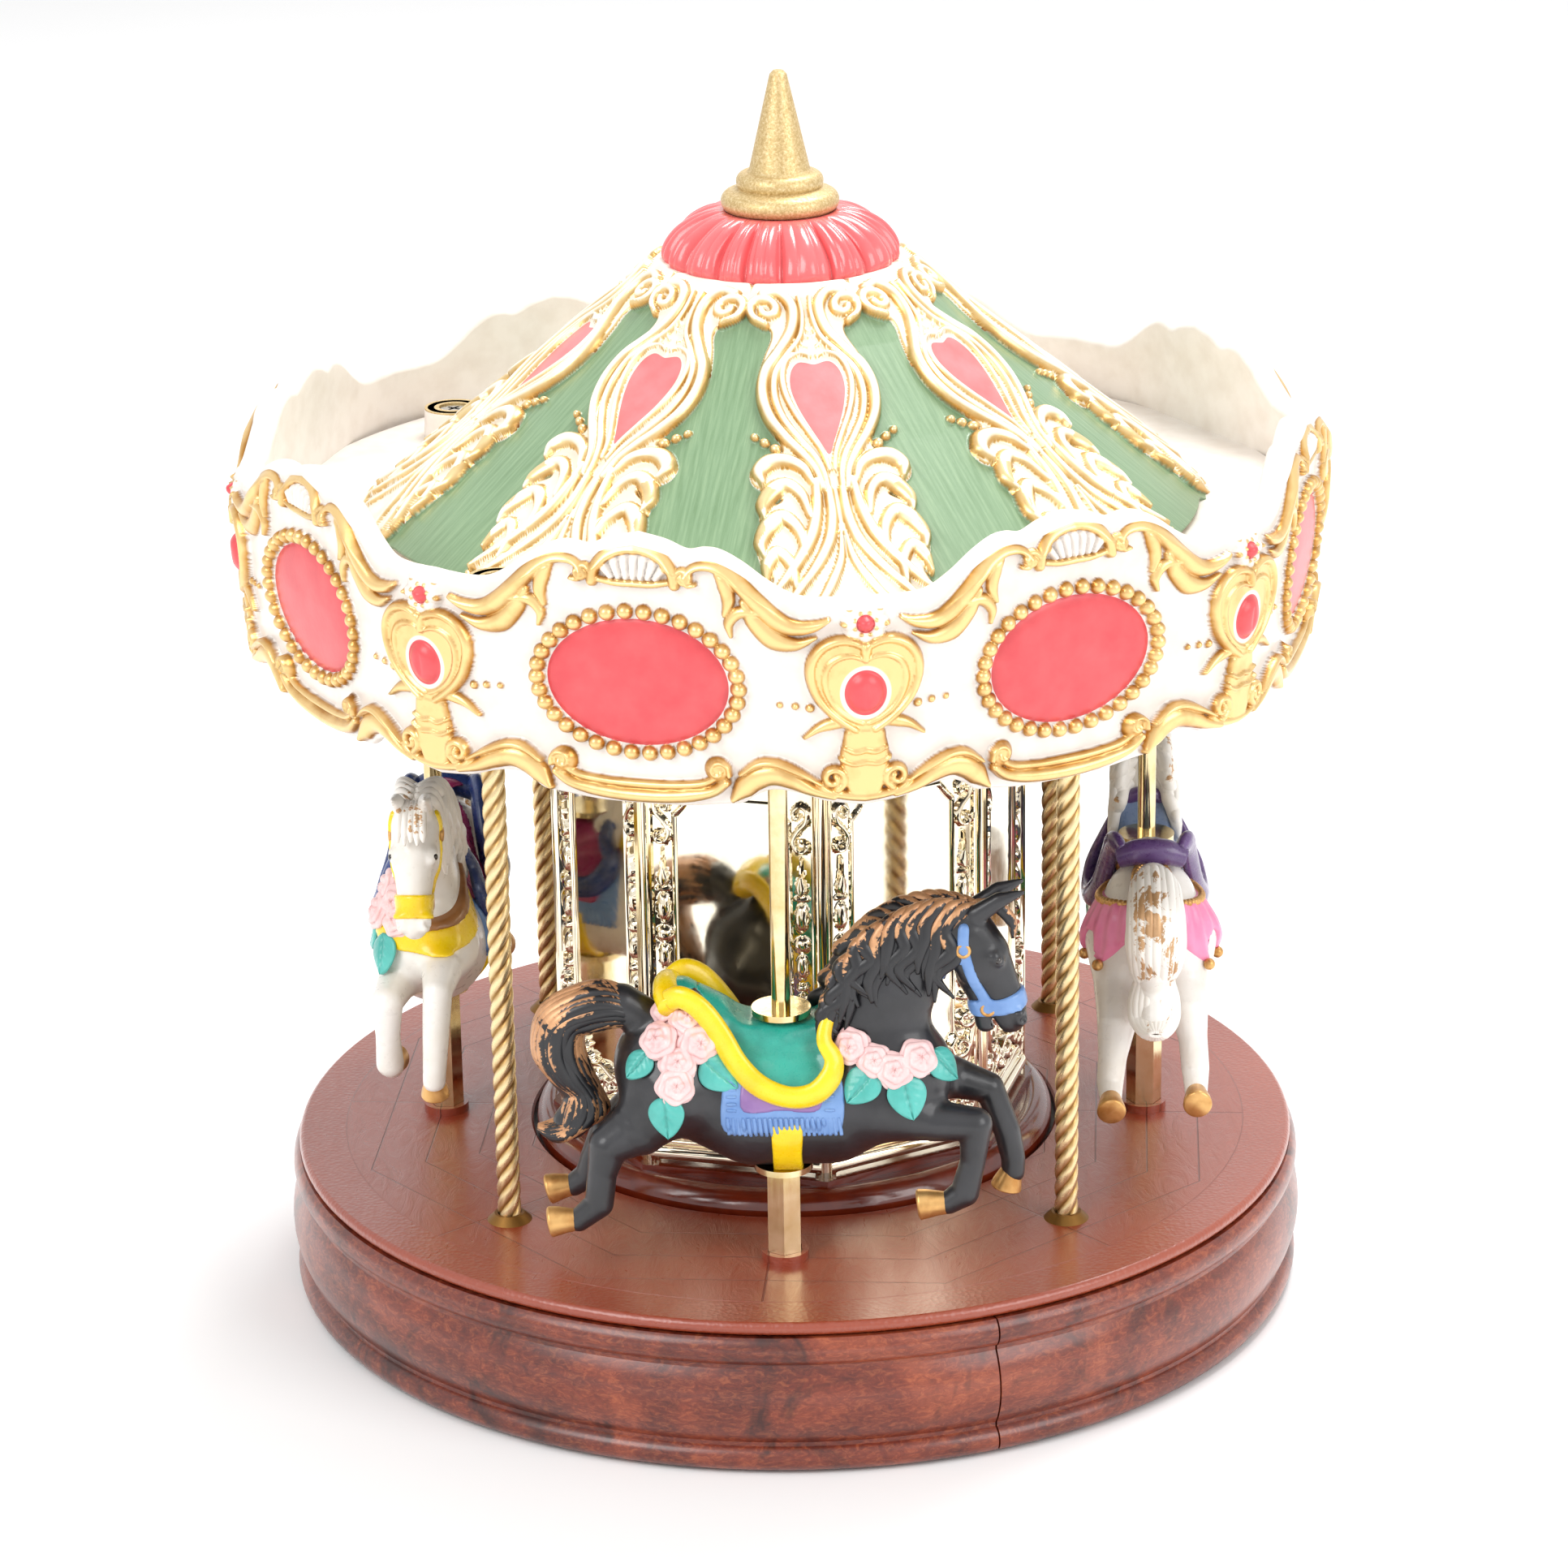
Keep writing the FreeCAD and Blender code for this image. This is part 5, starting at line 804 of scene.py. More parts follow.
def mirror_panels():
    """Eight gold-plated mirror panels with their moulded frames."""
    across = np.linspace(0, PANEL_HALF, 62)
    up = np.linspace(PANEL_FOOT, PANEL_TOP, 336)
    grid = np.meshgrid(across, up)
    lift = panel_relief(*grid).height
    lift = np.concatenate([lift[:, :0:-1], lift], axis=1)
    sides = np.concatenate([-across[:0:-1], across])
    rows = np.broadcast_to(up[:, None], lift.shape)
    front = np.stack([np.broadcast_to(sides, lift.shape), PANEL_FACE + lift, rows], -1)
    edge = np.array([[PANEL_HALF, PANEL_BACK, 0], [-PANEL_HALF, PANEL_BACK, 0]])
    back = np.broadcast_to(edge, (len(up), 2, 3)).copy()
    back[:, :, 2] = up[:, None]
    points, faces = capped(np.concatenate([front, back], axis=1))
    for k in range(SECTORS):
        turn = math.radians(COLUMN_ANGLE + (k + 0.5) * 360 / SECTORS)
        out = np.array([math.cos(turn), math.sin(turn)])
        along = np.array([-out[1], out[0]])
        placed = np.column_stack([points[:, :1] * along + points[:, 1:2] * out, points[:, 2]])
        panel = mesh_piece(f"mirror_panel_{k + 1}", placed, faces, FINISHES["gold_plate"],
                           "base", None, 50)
    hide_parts("mirror_panels")


POLE_RADIUS = 1.97  # in the grooves
POLE_STRAND = 0.72  # by which the strands stand out
POLE_STRANDS, POLE_LEAD = 4, 17.3


def twisted_poles():
    """Four rope-twisted brass poles."""
    turn = full_turn(72)
    for number in range(1, 5):
        node = f"twisted_pole_{number}"
        low, high = (np.array(corner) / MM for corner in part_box(node))
        heights = np.arange(low[2], high[2], 0.25)[:, None]
        strand = np.abs(np.cos(POLE_STRANDS * (turn - 2 * math.pi * heights / POLE_LEAD) / 2)) ** 0.6
        rings = around(POLE_RADIUS + POLE_STRAND * strand, turn, heights)
        points, faces = capped(rings + np.append((low + high)[:2] / 2, 0))
        pole = mesh_piece(f"rope_pole_{number}", points, faces, FINISHES["twist_brass"], "turntable",
                          {"ridge": np.pad(strand, ((1, 1), (0, 0)))})
        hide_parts(node)


# ---------------------------------------------------------------- horses

STEP = 0.55  # of the grid that the figures are melted together on
LOW, HIGH = np.array([-62.0, -17.0, -60.0]), (60, 17, 36)
AXES = [np.arange(low, high, STEP, dtype=np.float32) for low, high in zip(LOW, HIGH)]
FORWARD, SIDE, UP = np.meshgrid(*AXES, indexing="ij", sparse=True)
FLAT = [plane.astype(float) for plane in np.meshgrid(AXES[0], AXES[2], indexing="ij")]


def limb(joints, flat=1.0):
    """Distances to a chain of round joints (forward, side, up, radius), squeezed sideways by a share."""
    nearest = None
    for (ax, ay, az, ra), (bx, by, bz, rb) in zip(joints, joints[1:]):
        x, y, z = FORWARD - ax, (SIDE - ay) / flat, UP - az
        dx, dy, dz = bx - ax, (by - ay) / flat, bz - az
        t = np.clip((x * dx + y * dy + z * dz) / (dx * dx + dy * dy + dz * dz), 0, 1)
        part = np.sqrt((x - t * dx) ** 2 + (y - t * dy) ** 2 + (z - t * dz) ** 2) - (ra + t * (rb - ra))
        nearest = part if nearest is None else np.minimum(nearest, part)
    return nearest


def melt(one, other, width=2.4):
    """Union of two fields with a soft joint."""
    share = np.clip(0.5 + 0.5 * (other - one) / width, 0, 1)
    return other + (one - other) * share - width * share * (1 - share)


def skin(field):
    """Points and quads over the zero level of a field (surface nets)."""
    strides = np.array([field.shape[1] * field.shape[2], field.shape[2], 1])
    numbers, spots, quads = [], [], []
    for axis in range(3):
        near = [slice(None)] * 3
        far = [slice(None)] * 3
        near[axis] = slice(None, -1)
        far[axis] = slice(1, None)
        at = np.argwhere((field[tuple(near)] < 0) != (field[tuple(far)] < 0))
        ahead = at.copy()
        ahead[:, axis] += 1
        one = field[tuple(at.T)]
        other = field[tuple(ahead.T)]
        spot = at.astype(float)
        spot[:, axis] += one / (one - other)
        ring = []
        for du, dw in ((0, 0), (-1, 0), (-1, -1), (0, -1)):
            cell = at.copy()
            cell[:, (axis + 1) % 3] += du
            cell[:, (axis + 2) % 3] += dw
            ring.append(cell @ strides)
            numbers.append(ring[-1])
            spots.append(spot)
        quad = np.stack(ring, 1)
        quads.append(np.where((one < 0)[:, None], quad, quad[:, ::-1]))
    numbers = np.concatenate(numbers)
    spots = np.concatenate(spots)
    cells, owner = np.unique(numbers, return_inverse=True)
    count = np.bincount(owner)
    points = np.stack([np.bincount(owner, spots[:, k]) / count for k in range(3)], 1)
    return LOW + points * STEP, np.searchsorted(cells, np.concatenate(quads))


def inside_outline(outline):
    """How deep each place of the (forward, up) plane lies inside a smooth closed outline."""
    art = Relief(*FLAT, ("in",))
    art.plate(outline, 1.0, 1.0, "in")
    return art.paint["in"]


def inside_strap(points, half):
    """How deep each place of the (forward, up) plane lies inside a strap along a path."""
    art = Relief(*FLAT, ("in",))
    art.stroke(points, [half, half], 1.0, "in")
    return art.paint["in"]


def wrapped(body, depth, thick):
    """What covers the body, a little proud of it, inside a shape of the (forward, up) plane."""
    return -melt(-(body - thick), depth[:, None, :].astype(np.float32), 0.5)


def horse_figure():
    """Field of a galloping horse about its pole, its saddle's disc at 0."""
    body = limb([(-24, 0, -14.6, 12.4), (-6, 0, -21.8, 14.2), (10, 0, -21.8, 14.0), (25, 0, -14.6, 12.6)], 0.9)
    body = melt(body, limb([(-21, 0, -8, 9.8), (-26, 0, -11, 9.8)], 1.06), 4)
    neck = limb([(19, 0, -7, 12.0), (23.2, 0, 4, 10.6), (27.6, 0, 12.5, 9.2), (35, 0, 19, 7.0)], 0.66)
    body = melt(body, neck, 4)
    head = limb([(40.2, 0, 17.6, 6.6), (43.8, 0, 12.6, 6.2), (47.8, 0, 4.4, 4.6), (49.8, 0, -1.6, 4.0)], 0.84)
    head = melt(head, limb([(41.6, 0, 8, 3.4), (44.0, 0, 2.0, 2.6), (44.6, 0, -3.2, 2.2)], 1.1), 1.6)
    for side in (-1, 1):
        head = melt(head, limb([(46.4, side * 4.0, 13.6, 1.7), (47.4, side * 3.8, 12.6, 1.5)]), 0.8)
        head = melt(head, limb([(42.0, side * 3.4, 12.0, 4.4), (42.4, side * 3.4, 11, 4.2)], 0.5), 1.2)
        head = melt(head, limb([(52.0, side * 2.4, -0.6, 1.7), (52.2, side * 2.4, -1.6, 1.6)]), 0.8)
        head = np.maximum(head, -limb([(53.8, side * 3.2, -0.4, 0.8), (52.6, side * 3.6, -1.4, 0.6)]))
        head = melt(head, limb([(42.6, side * 2.6, 22.8, 2.3), (47.6, side * 3.2, 26.4, 1.9),
                                (52.6, side * 3.6, 28.4, 0.6)], 0.8), 1.0)
    head = np.maximum(head, -limb([(48.6, 0, -6.8, 1.0), (46.2, 0, -2.0, 0.5)], 8.0))
    body = melt(body, head, 2.4)
    for leg in LEGS:
        body = melt(body, limb(leg), 3.0)
    tail = limb([(-29, 0, -2.4, 4.4), (-35, 0, 1.2, 4.8), (-41.1, 0, 1.3, 4.9), (-47.6, 0, -2.0, 5.1),
                 (-49.4, 0, -8, 5.1), (-47.0, 0, -14.2, 4.9), (-44.4, 0, -19.0, 4.0), (-44.2, 0, -23.6, 4.4),
                 (-46.8, 0, -26.6, 4.0)], 0.9)
    return melt(body, tail, 1.6)


# near fore, far fore, near hind and far hind leg, each from the body down to its pastern
LEGS = [[(22, -5.0, -21, 8.0), (33.2, -7.0, -23.6, 4.6), (42.4, -8.0, -24.0, 3.7), (41.8, -8.2, -32.6, 2.8),
         (40.0, -8.2, -40.2, 3.2), (36.4, -8.2, -42.7, 2.6)],
        [(28, 4.6, -17, 7.2), (37, 4.4, -18.0, 4.8), (45.4, 4.0, -20.4, 3.4), (49.4, 3.6, -30.4, 3.0),
         (50.8, 3.2, -37.0, 2.7), (50.8, 3.0, -40.2, 2.6)],
        [(-24, -5.4, -17, 10.2), (-31, -6.8, -24.4, 6.8), (-38.0, -8.2, -28.6, 4.5), (-39.6, -9.2, -35, 3.3),
         (-40.4, -9.8, -42.0, 3.2), (-45.0, -9.8, -45.9, 2.6)],
        [(-24, 5.4, -17, 10.0), (-31, 6.8, -25.6, 6.4), (-38.6, 8.2, -31.6, 4.5), (-42.2, 9.2, -38.4, 3.3),
         (-44.0, 9.8, -43.8, 3.1), (-47.4, 9.8, -46.2, 2.6)]]
HOOF_RADII = [2.4, 2.8, 3.3, 3.5, 3.01]  # from its top to its sole
# for each hoof the middle of its top and of its sole
HOOVES = [((36.6, -8.2, -42.8), (29.6, -8.2, -42.6)),
          ((50.8, 3.0, -39.8), (48.6, 3.0, -44.0)),
          ((-45.2, -9.8, -45.9), (-51.6, -9.8, -45.8)),
          ((-47.6, 9.8, -46.3), (-53.4, 9.8, -46.8))]


def hooves():
    """Four hooves that widen to a flat, slightly rounded sole, each with its toe drawn out below."""
    parts = []
    for top, sole in HOOVES:
        top, sole = np.array(top), np.array(sole)
        length = sole - top
        toe = np.array([length[2], 0, -length[0]]) / np.linalg.norm(length)
        toe *= -1 if toe[2] > 0 else 1
        path = [top + length * t + toe * 0.6 * t * t for t in (0.0, 0.35, 0.7, 0.93, 1.0)]
        parts.append(tube(path, HOOF_RADII, 28, 0.95, 20))
    return merge(parts)


LOCK_SIDES = 12


def lock(path, radii, flat, count, start=None, end=None):
    """A lock of hair, whose mark fades between two shares of its length if they are given."""
    points, faces, marks = tube(path, radii, LOCK_SIDES, flat, count)
    if end:
        share = np.repeat(np.linspace(0, 1, count + 2), LOCK_SIDES)
        marks = marks - 1.6 * ease((share - start) / (end - start))
    return points, faces, marks


def mane():
    """Wavy locks that sweep from the crest over both sides of the neck, and the forelock."""
    crest = smooth_path([(41.0, 24.8), (36, 26.0), (30.5, 25.2), (24.7, 22.4), (20.2, 18.4), (17.2, 13.2),
                         (15.0, 8.0)], 14)
    locks = []
    for k, (x, z) in enumerate(crest):
        fall = 18.5 + 2.5 * math.sin(2.3 * k) - 0.3 * k
        for side in (-1, 1):
            out = side * (4.4 + 0.12 * k)
            sway = 1.3 * math.sin(1.7 * k + side)
            path = [(x + 1.8, side * 0.4, z - 0.6), (x - 1.6, out * 0.72, z - 1.0),
                    (x - 4.8 + sway * 0.4, out * 0.98, z - fall * 0.26),
                    (x - 4.4 - sway * 0.6, out * 1.16, z - fall * 0.5),
                    (x - 7.0 + sway, out * 1.28, z - fall * 0.74), (x - 5.6 - sway, out * 1.36, z - fall)]
            locks.append(lock(path, [0.9, 1.7, 2.1, 2.0, 1.6, 0.4], 0.8, 34, 0.35, 0.85))
            under = [(px + 1.3, py * 0.97, pz - 1.6) for px, py, pz in path]
            locks.append(lock(under, [0.6, 1.3, 1.5, 1.5, 1.2, 0.3], 0.8, 34, 0.1, 0.55))
    for k in range(5):
        side = (k - 2) * 1.1
        path = [(42.6, side * 0.6, 24.2), (46.8, side, 24.8 - 0.3 * k), (50.2, side * 1.2, 21.4 - 0.4 * k),
                (50.6, side * 1.3, 17.8 - 0.8 * (k % 2))]
        locks.append(lock(path, [0.9, 1.5, 1.3, 0.4], 0.8, 22))
    return merge(locks)


def tail_hair():
    """Locks that follow the tail's arch down to its curled end, tied once on the way."""
    locks = []
    for k, turn in enumerate(full_turn(20)):
        side, out = 4.1 * math.cos(turn), 4.1 * math.sin(turn)
        wave = 0.7 * math.sin(3.1 * k)
        path = [(-31, side * 0.6, -1.6 + out * 0.5), (-36, side * 0.9, 1.0 + out * 0.9),
                (-42.0, side * 1.1, 0.8 + out + wave), (-47.8 - out * 0.8, side * 1.2, -2.0 + out * 0.5),
                (-49.2 - out, side * 1.2 + wave, -8.4), (-46.8 - out * 0.9, side * 1.1, -14.4 + wave * 0.5),
                (-43.8 - out * 0.7, side * 0.9, -18.8), (-43.6 - out * 0.9 + wave, side * 1.1, -23.4),
                (-46.4 - out * 0.5, side * 1.1, -27.0 - out * 0.4), (-50.6, side * 0.7, -28.6 - out * 0.35),
                (-54.2, side * 0.3, -27.9 - out * 0.1)]
        locks.append(lock(path, [0.7, 1.4, 1.8, 2.0, 2.0, 1.7, 1.2, 1.6, 1.6, 1.1, 0.3], 0.9, 64))
    return merge(locks)


def laid_on(middle, outward, heading, local):
    """Local points laid on a surface: their x runs the way of the heading, their z the way it faces."""
    z = np.array(outward, float) / np.linalg.norm(outward)
    x = np.array(heading, float) - z * (np.array(heading, float) @ z)
    x /= np.linalg.norm(x)
    return np.array(middle) + local @ np.array([x, np.cross(z, x), z])


def rose(middle, outward, size):
    """A rose head: a bud inside petals that wind outwards."""
    polar, turn = np.meshgrid(np.linspace(0.02, 2.1, 30), full_turn(48), indexing="ij")
    winding = (polar / 0.52 - turn / (2 * math.pi)) % 1.0
    wavy = 0.06 * np.sin(5 * turn + 3 * polar)
    radius = size * (0.82 + 0.2 * np.sin(winding * math.pi) ** 0.6 + wavy)
    local = around(radius * np.sin(polar), turn, radius * np.cos(polar) * 0.7)
    return unmarked(*capped(laid_on(middle, outward, np.cross([0, 0, 1], outward), local)))


def leaf(middle, outward, heading, length, width):
    """A pointed leaf with a midrib, veins and a cupped blade."""
    along, across = np.meshgrid(np.linspace(0, 1, 26), np.linspace(-1, 1, 21), indexing="ij")
    half = width / 2 * np.sin(math.pi * along ** 0.75).clip(0) ** 0.7 + 0.05
    vein = np.abs(np.sin((along - 0.3 * np.abs(across)) * 16)) ** 3
    raised = 0.9 * (1 - across ** 2) - 0.7 * np.exp(-(across / 0.09) ** 2) - 0.22 * vein * (1 - np.abs(across))
    top = np.stack([along * length, across * half, raised], -1)
    under = top[:, ::-1].copy()
    under[:, :, 2] = -0.5
    return unmarked(*capped(laid_on(middle, outward, heading, np.concatenate([top, under], axis=1))))


def ring(middle, radius, thick):
    """A small closed ring that lies in the (forward, up) plane."""
    turn, round_turn = full_turn(28)[:, None], full_turn(10)
    reach = radius + thick * np.cos(round_turn)
    side = np.broadcast_to(thick * np.sin(round_turn), (28, 10))
    local = np.stack([reach * np.cos(turn), side, reach * np.sin(turn)], -1)
    return unmarked((np.array(middle) + local).reshape(-1, 3), grid_faces(28, 10, True, True))


def bead(middle, size):
    """A small round bead."""
    polar, turn = np.meshgrid(np.linspace(0.1, math.pi - 0.1, 12), full_turn(20), indexing="ij")
    return unmarked(*capped(np.array(middle) + size * around(np.sin(polar), turn, np.cos(polar))))


def horse_gold():
    """Warm gold paint of hooves, ropes and buckles."""
    finish = Finish("horse_gold", metallic=0.7, roughness=0.36)
    patch = finish.noise(300.0, 4.0)
    finish.set(color=finish.ramp(patch, (0.3, "b98448"), (0.65, "dcae6e")))
    return finish.bump(patch, 0.05).material


TACK = {
    "teal": plain_paint("tack_teal", "2fa896", "1f8c7d", 0.3, 0.4),
    "yellow": plain_paint("tack_yellow", "fbd818", "f2c606", 0.3, 0.4),
    "blue": plain_paint("tack_blue", "7599cd", "6288c0", 0.35, 0.3),
    "purple": plain_paint("tack_purple", "8f6da5", "7f5d96", 0.35, 0.3),
    "violet": plain_paint("tack_violet", "64477c", "523968", 0.3, 0.4),
    "slate": plain_paint("tack_slate", "7688a6", "66789a", 0.3, 0.4),
    "navy": plain_paint("tack_navy", "2f4684", "24376a", 0.3, 0.4),
    "magenta": plain_paint("tack_magenta", "b23a72", "98305f", 0.3, 0.4),
    "green": plain_paint("tack_green", "4b9b62", "3a8552", 0.35, 0.3),
    "red": plain_paint("tack_red", "c8383c", "a82c30", 0.3, 0.4),
    "pink": plain_paint("tack_pink", "f590b6", "ee80a8", 0.35, 0.3),
    "rose": plain_paint("rose_pink", "f2cfcd", "e9bdbd", 0.38, 0.25),
    "leaf": plain_paint("leaf_teal", "55b8ae", "42a49a", 0.35, 0.3),
    "gilt": horse_gold(),
    "brown": plain_paint("tack_brown", "a5703f", "8a5a30", 0.4, 0.3),
    "eye": plain_paint("eye_dark", "231a16", "17110e", 0.1, 0.8),
}
HAIR = {
    "copper": hair("copper_hair", tint("17171b"), "dba678", "a06a45", 0.62),
    "straw": hair("straw_hair", tint("f3eee6"), "c79d72", "a9814f", 1.08),
}

# what each horse wears: coat, hair, bridle, seat, trim, blanket, its centre, girth
HORSES = {
    "front": ("black_horse", "copper", "blue", "teal", "yellow", "blue", "purple", "yellow"),
    "left": ("white_horse", "straw", "yellow", "magenta", "navy", "blue", "magenta", "yellow"),
    "right": ("white_horse", "straw", "blue", "slate", "violet", "green", "yellow", "brown"),
    "rear": ("black_horse", "copper", "red", "red", "yellow", "green", "pink", "brown"),
}

SADDLE_DISC = 0.7  # from the top of the saddle's disc down to the zero of the figure's heights
# outline of the saddle's seat: (forward, up)
SEAT = [(-26, 3), (-24, 8.4), (-19, 8.2), (-14, 4.5), (-9, -0.8), (-4, -1.6), (3, -1.8), (8, -1), (11, 3),
        (13.2, 6.4), (12.4, 0), (10.4, -4), (12.0, -8), (10.8, -12.4), (7, -14.8), (1.6, -15.2), (-4.4, -13.0),
        (-9.4, -8.0), (-12.8, -2), (-16, 3), (-20, 6)]
# for each stop of the saddle's trim: how far forward, sideways and up, and half its width
TRIM = [(-24.4, 6.6, 4.8, 2.4), (-21.6, 7.8, 6.0, 2.8), (-18.6, 8.6, 4.8, 2.8), (-15.8, 9.0, 2.0, 2.8),
        (-12.8, 9.8, -2.4, 2.8), (-9.4, 11.0, -8.2, 2.8), (-4.6, 12.6, -12.8, 2.8), (1.6, 13.3, -15.2, 2.7),
        (7.2, 13.1, -14.6, 2.8), (10.8, 12.2, -11.2, 2.7), (11.6, 11.0, -7.4, 2.2), (9.6, 9.8, -3.6, 1.8),
        (10.0, 8.2, -0.2, 1.6), (11.4, 6.2, 3.0, 1.6), (12.4, 4.2, 6.0, 0.8)]
# flowers of a rump, of a chest, and those of the left horse's chest. For each rose: how far forward and up,
# and its size. For each leaf: how far forward and up, the way it points, and its length.
RUMP = ([(-26.2, -4.0, 4.4), (-18.0, -4.4, 4.6), (-24.4, 0.8, 4.0), (-20.4, -0.2, 3.8), (-22.2, -8.2, 4.2),
         (-22.8, -12.2, 4.3)],
        [(-28.4, -6.4, -0.45, -0.9, 7.4), (-17.0, -7.6, 0.72, -0.7, 10.0), (-25.0, -14.2, 0.15, -1.0, 9.4)])
CHEST = ([(15.6, -5.6, 4.2), (20.4, -8.4, 3.9), (24.8, -10.2, 4.2), (29.6, -8.2, 4.4)],
         [(20.6, -10.4, -0.6, -0.8, 9.4), (26.4, -11.2, 0.2, -1.0, 10.0), (32.4, -7.4, 0.6, -0.8, 8.6)])
POSY = ([(25.4, -2.6, 4.8), (31.4, -4.0, 5.0), (27.6, -7.6, 4.8), (34.0, -7.8, 3.8)],
        [(25.6, -11.0, -0.5, -0.85, 9.6), (33.0, -10.8, 0.3, -0.95, 9.6)])


def flank(body, forward, up, side):
    """How far out the body reaches at a place of the (forward, up) plane, on one side."""
    column = body[int((forward - LOW[0]) / STEP), :, int((up - LOW[2]) / STEP)]
    full = np.flatnonzero(column < 0)
    if not len(full):
        return side * 4.0
    return LOW[1] + STEP * (full[0] if side < 0 else full[-1])


def on_flank(body, x, z, side, lift=0.0):
    """A point on the body's flank and the way it faces there."""
    y = flank(body, x, z, side)
    slope_up = flank(body, x, z + 2, side) - flank(body, x, z - 2, side)
    slope_on = flank(body, x + 2, z, side) - flank(body, x - 2, z, side)
    outward = np.array([-slope_on * side / 4, 1.0, -slope_up * side / 4]) * np.array([1, side, 1])
    outward = np.clip(outward, -1.2, 1.2)
    outward /= np.linalg.norm(outward)
    return np.array([x, y, z]) + outward * lift, outward


def flowers(body, add, place, roses, leaves):
    """Rose heads and leaves on the flank that faces away from the column."""
    heads, blades = [], []
    for x, z, size in roses:
        middle, outward = on_flank(body, x, z, -1, 0.3)
        heads.append(rose(middle, outward, size))
    for x, z, dx, dz, length in leaves:
        middle, outward = on_flank(body, x, z, -1, 0.8)
        blades.append(leaf(middle, outward, (dx, 0, dz), length, 0.86 * length))
    add(f"{place}_roses", merge(heads), TACK["rose"])
    add(f"{place}_leaves", merge(blades), TACK["leaf"])


def saddle_trim():
    """Broad rolled edge of the saddle on both sides, with the rolls across cantle and pommel."""
    halves = [half for _, _, _, half in TRIM]
    bands = [tube([(x, side * y, z) for x, y, z, _ in TRIM], halves, 20, 0.62) for side in (-1, 1)]
    for x, low, top, reach, half in ((-25.0, 3.4, 5.4, 7.4, 3.0), (12.2, 3.8, 6.2, 4.6, 1.7)):
        across = [(x + t * t, reach * t, low + (top - low) * (1 - t * t)) for t in (-1, -0.5, 0, 0.5, 1)]
        bands.append(tube(across, [0.85 * half, half, half, half, 0.85 * half], 24))
    return merge(bands)


# lower and upper rope of the drape, and the balls on its points: (forward, up)
DRAPE_ROPES = [[(-33.5, -5.0), (-28, -6.4), (-22, -7.2), (-16, -7.2), (-11.5, -6.0)],
               [(-33.5, -1.6), (-28, 1.0), (-22, 1.6), (-16, -1.6), (-11.5, -6.0)]]
DRAPE_BALLS = [(-13.5, -18.2), (-23.0, -20.0), (-32.5, -19.6)]


def rump_drape(body, add):
    """Pleated drape over the rump, with gold ropes along its top and a ball on each of its points."""
    outline = [(-39, -4.0), (-33, -4.6), (-26, -5.6), (-18, -6.6), (-12, -7), (-11.5, -12), (-13.5, -17.6),
               (-16.5, -12.6), (-19.5, -13.4), (-23.0, -19.4), (-26.5, -13.4), (-29.5, -13.4), (-32.5, -19.0),
               (-35.5, -13), (-39, -12.4)]
    pleats = 0.95 + 0.28 * np.sin(30 * np.arctan2(SIDE, FORWARD + 18))
    add("drape", skin(wrapped(body, inside_outline(outline), pleats)), TACK["pink"])
    ropes, balls = [], []
    for side in (-1, 1):
        for line in DRAPE_ROPES:
            path = [on_flank(body, x, z, side, 0.9)[0] for x, z in line]
            ropes.append(tube(path, [0.75, 0.85, 0.75], 12, 1.0, 40))
            ropes += [bead(spot, 1.0) for spot in smooth_path(path, 26)]
        balls += [bead(on_flank(body, x, z, side, 1.4)[0], 1.35) for x, z in DRAPE_BALLS]
    add("drape_rope", merge(ropes), TACK["gilt"])
    add("drape_balls", merge(balls), TACK["gilt"])


def breast_collar(body, add):
    """Broad collar round the chest, with a rope along its upper edge."""
    line = [(12.6, -3.6), (20, -6.6), (28, -9.4), (34, -10.8), (40, -11.2)]
    add("collar", skin(wrapped(body, inside_strap(line, 2.7), 1.0)), TACK["yellow"])
    edge = [(x + 0.6, z + 3.2) for x, z in line]
    add("collar_rope", skin(wrapped(body, inside_strap(edge, 1.0), 1.7)), TACK["brown"])


def saddle(body, add, seat, trim):
    """Seat of the saddle and its rolled edge."""
    cushion = limb([(-22, 0, 2.0, 5.4), (-12, 0, -3.4, 5.4), (0, 0, -8.2, 7.0), (10, 0, -3.4, 5.0),
                    (12, 0, 2, 4.0)], 1.3)
    add("seat", skin(wrapped(melt(body - 2.0, cushion, 2.0), inside_outline(SEAT), 0.0)), TACK[seat])
    add("trim", saddle_trim(), TACK[trim])


def saddle_cloth(body, add, blanket, centre, girth):
    """Fringed blanket with its centre, and the girth below it."""
    cloth = [(-12.6, -11), (-4, -10), (5, -10), (12.8, -11), (13.0, -23.4), (5, -23.8), (-4, -23.8), (-12.6, -23.6)]
    add("blanket", skin(wrapped(body, inside_outline(cloth), 0.9)), TACK[blanket])
    middle = [(-8.4, -11), (0, -10), (8.4, -11), (8.4, -18.4), (0, -18.6), (-8.4, -18.6)]
    add("blanket_centre", skin(wrapped(body, inside_outline(middle), 1.35)), TACK[centre])
    tassels = []
    for side in (-1, 1):
        for x in np.arange(-11.6, 12.6, 1.15):
            drop = [on_flank(body, x + 0.12 * k, -20.2 - k, side, 0.95)[0] for k in range(5)]
            tassels.append(tube(drop, [0.42, 0.5, 0.42], 8, 1.0, 10))
        for z in np.arange(-13.0, -19.5, -1.4):
            for x in (-11.8, 9.6):
                edge = [on_flank(body, x + 0.7 * k, z, side, 0.95)[0] for k in range(4)]
                tassels.append(tube(edge, [0.3, 0.42, 0.3], 8, 1.0, 8))
    add("fringe", merge(tassels), TACK[blanket])
    strap = [(-2.2, -22), (1.2, -22), (4.6, -22), (4.4, -30), (4.2, -42), (1.2, -42), (-1.8, -42), (-2.0, -30)]
    add("girth", skin(wrapped(body, inside_outline(strap), 1.3)), TACK[girth])


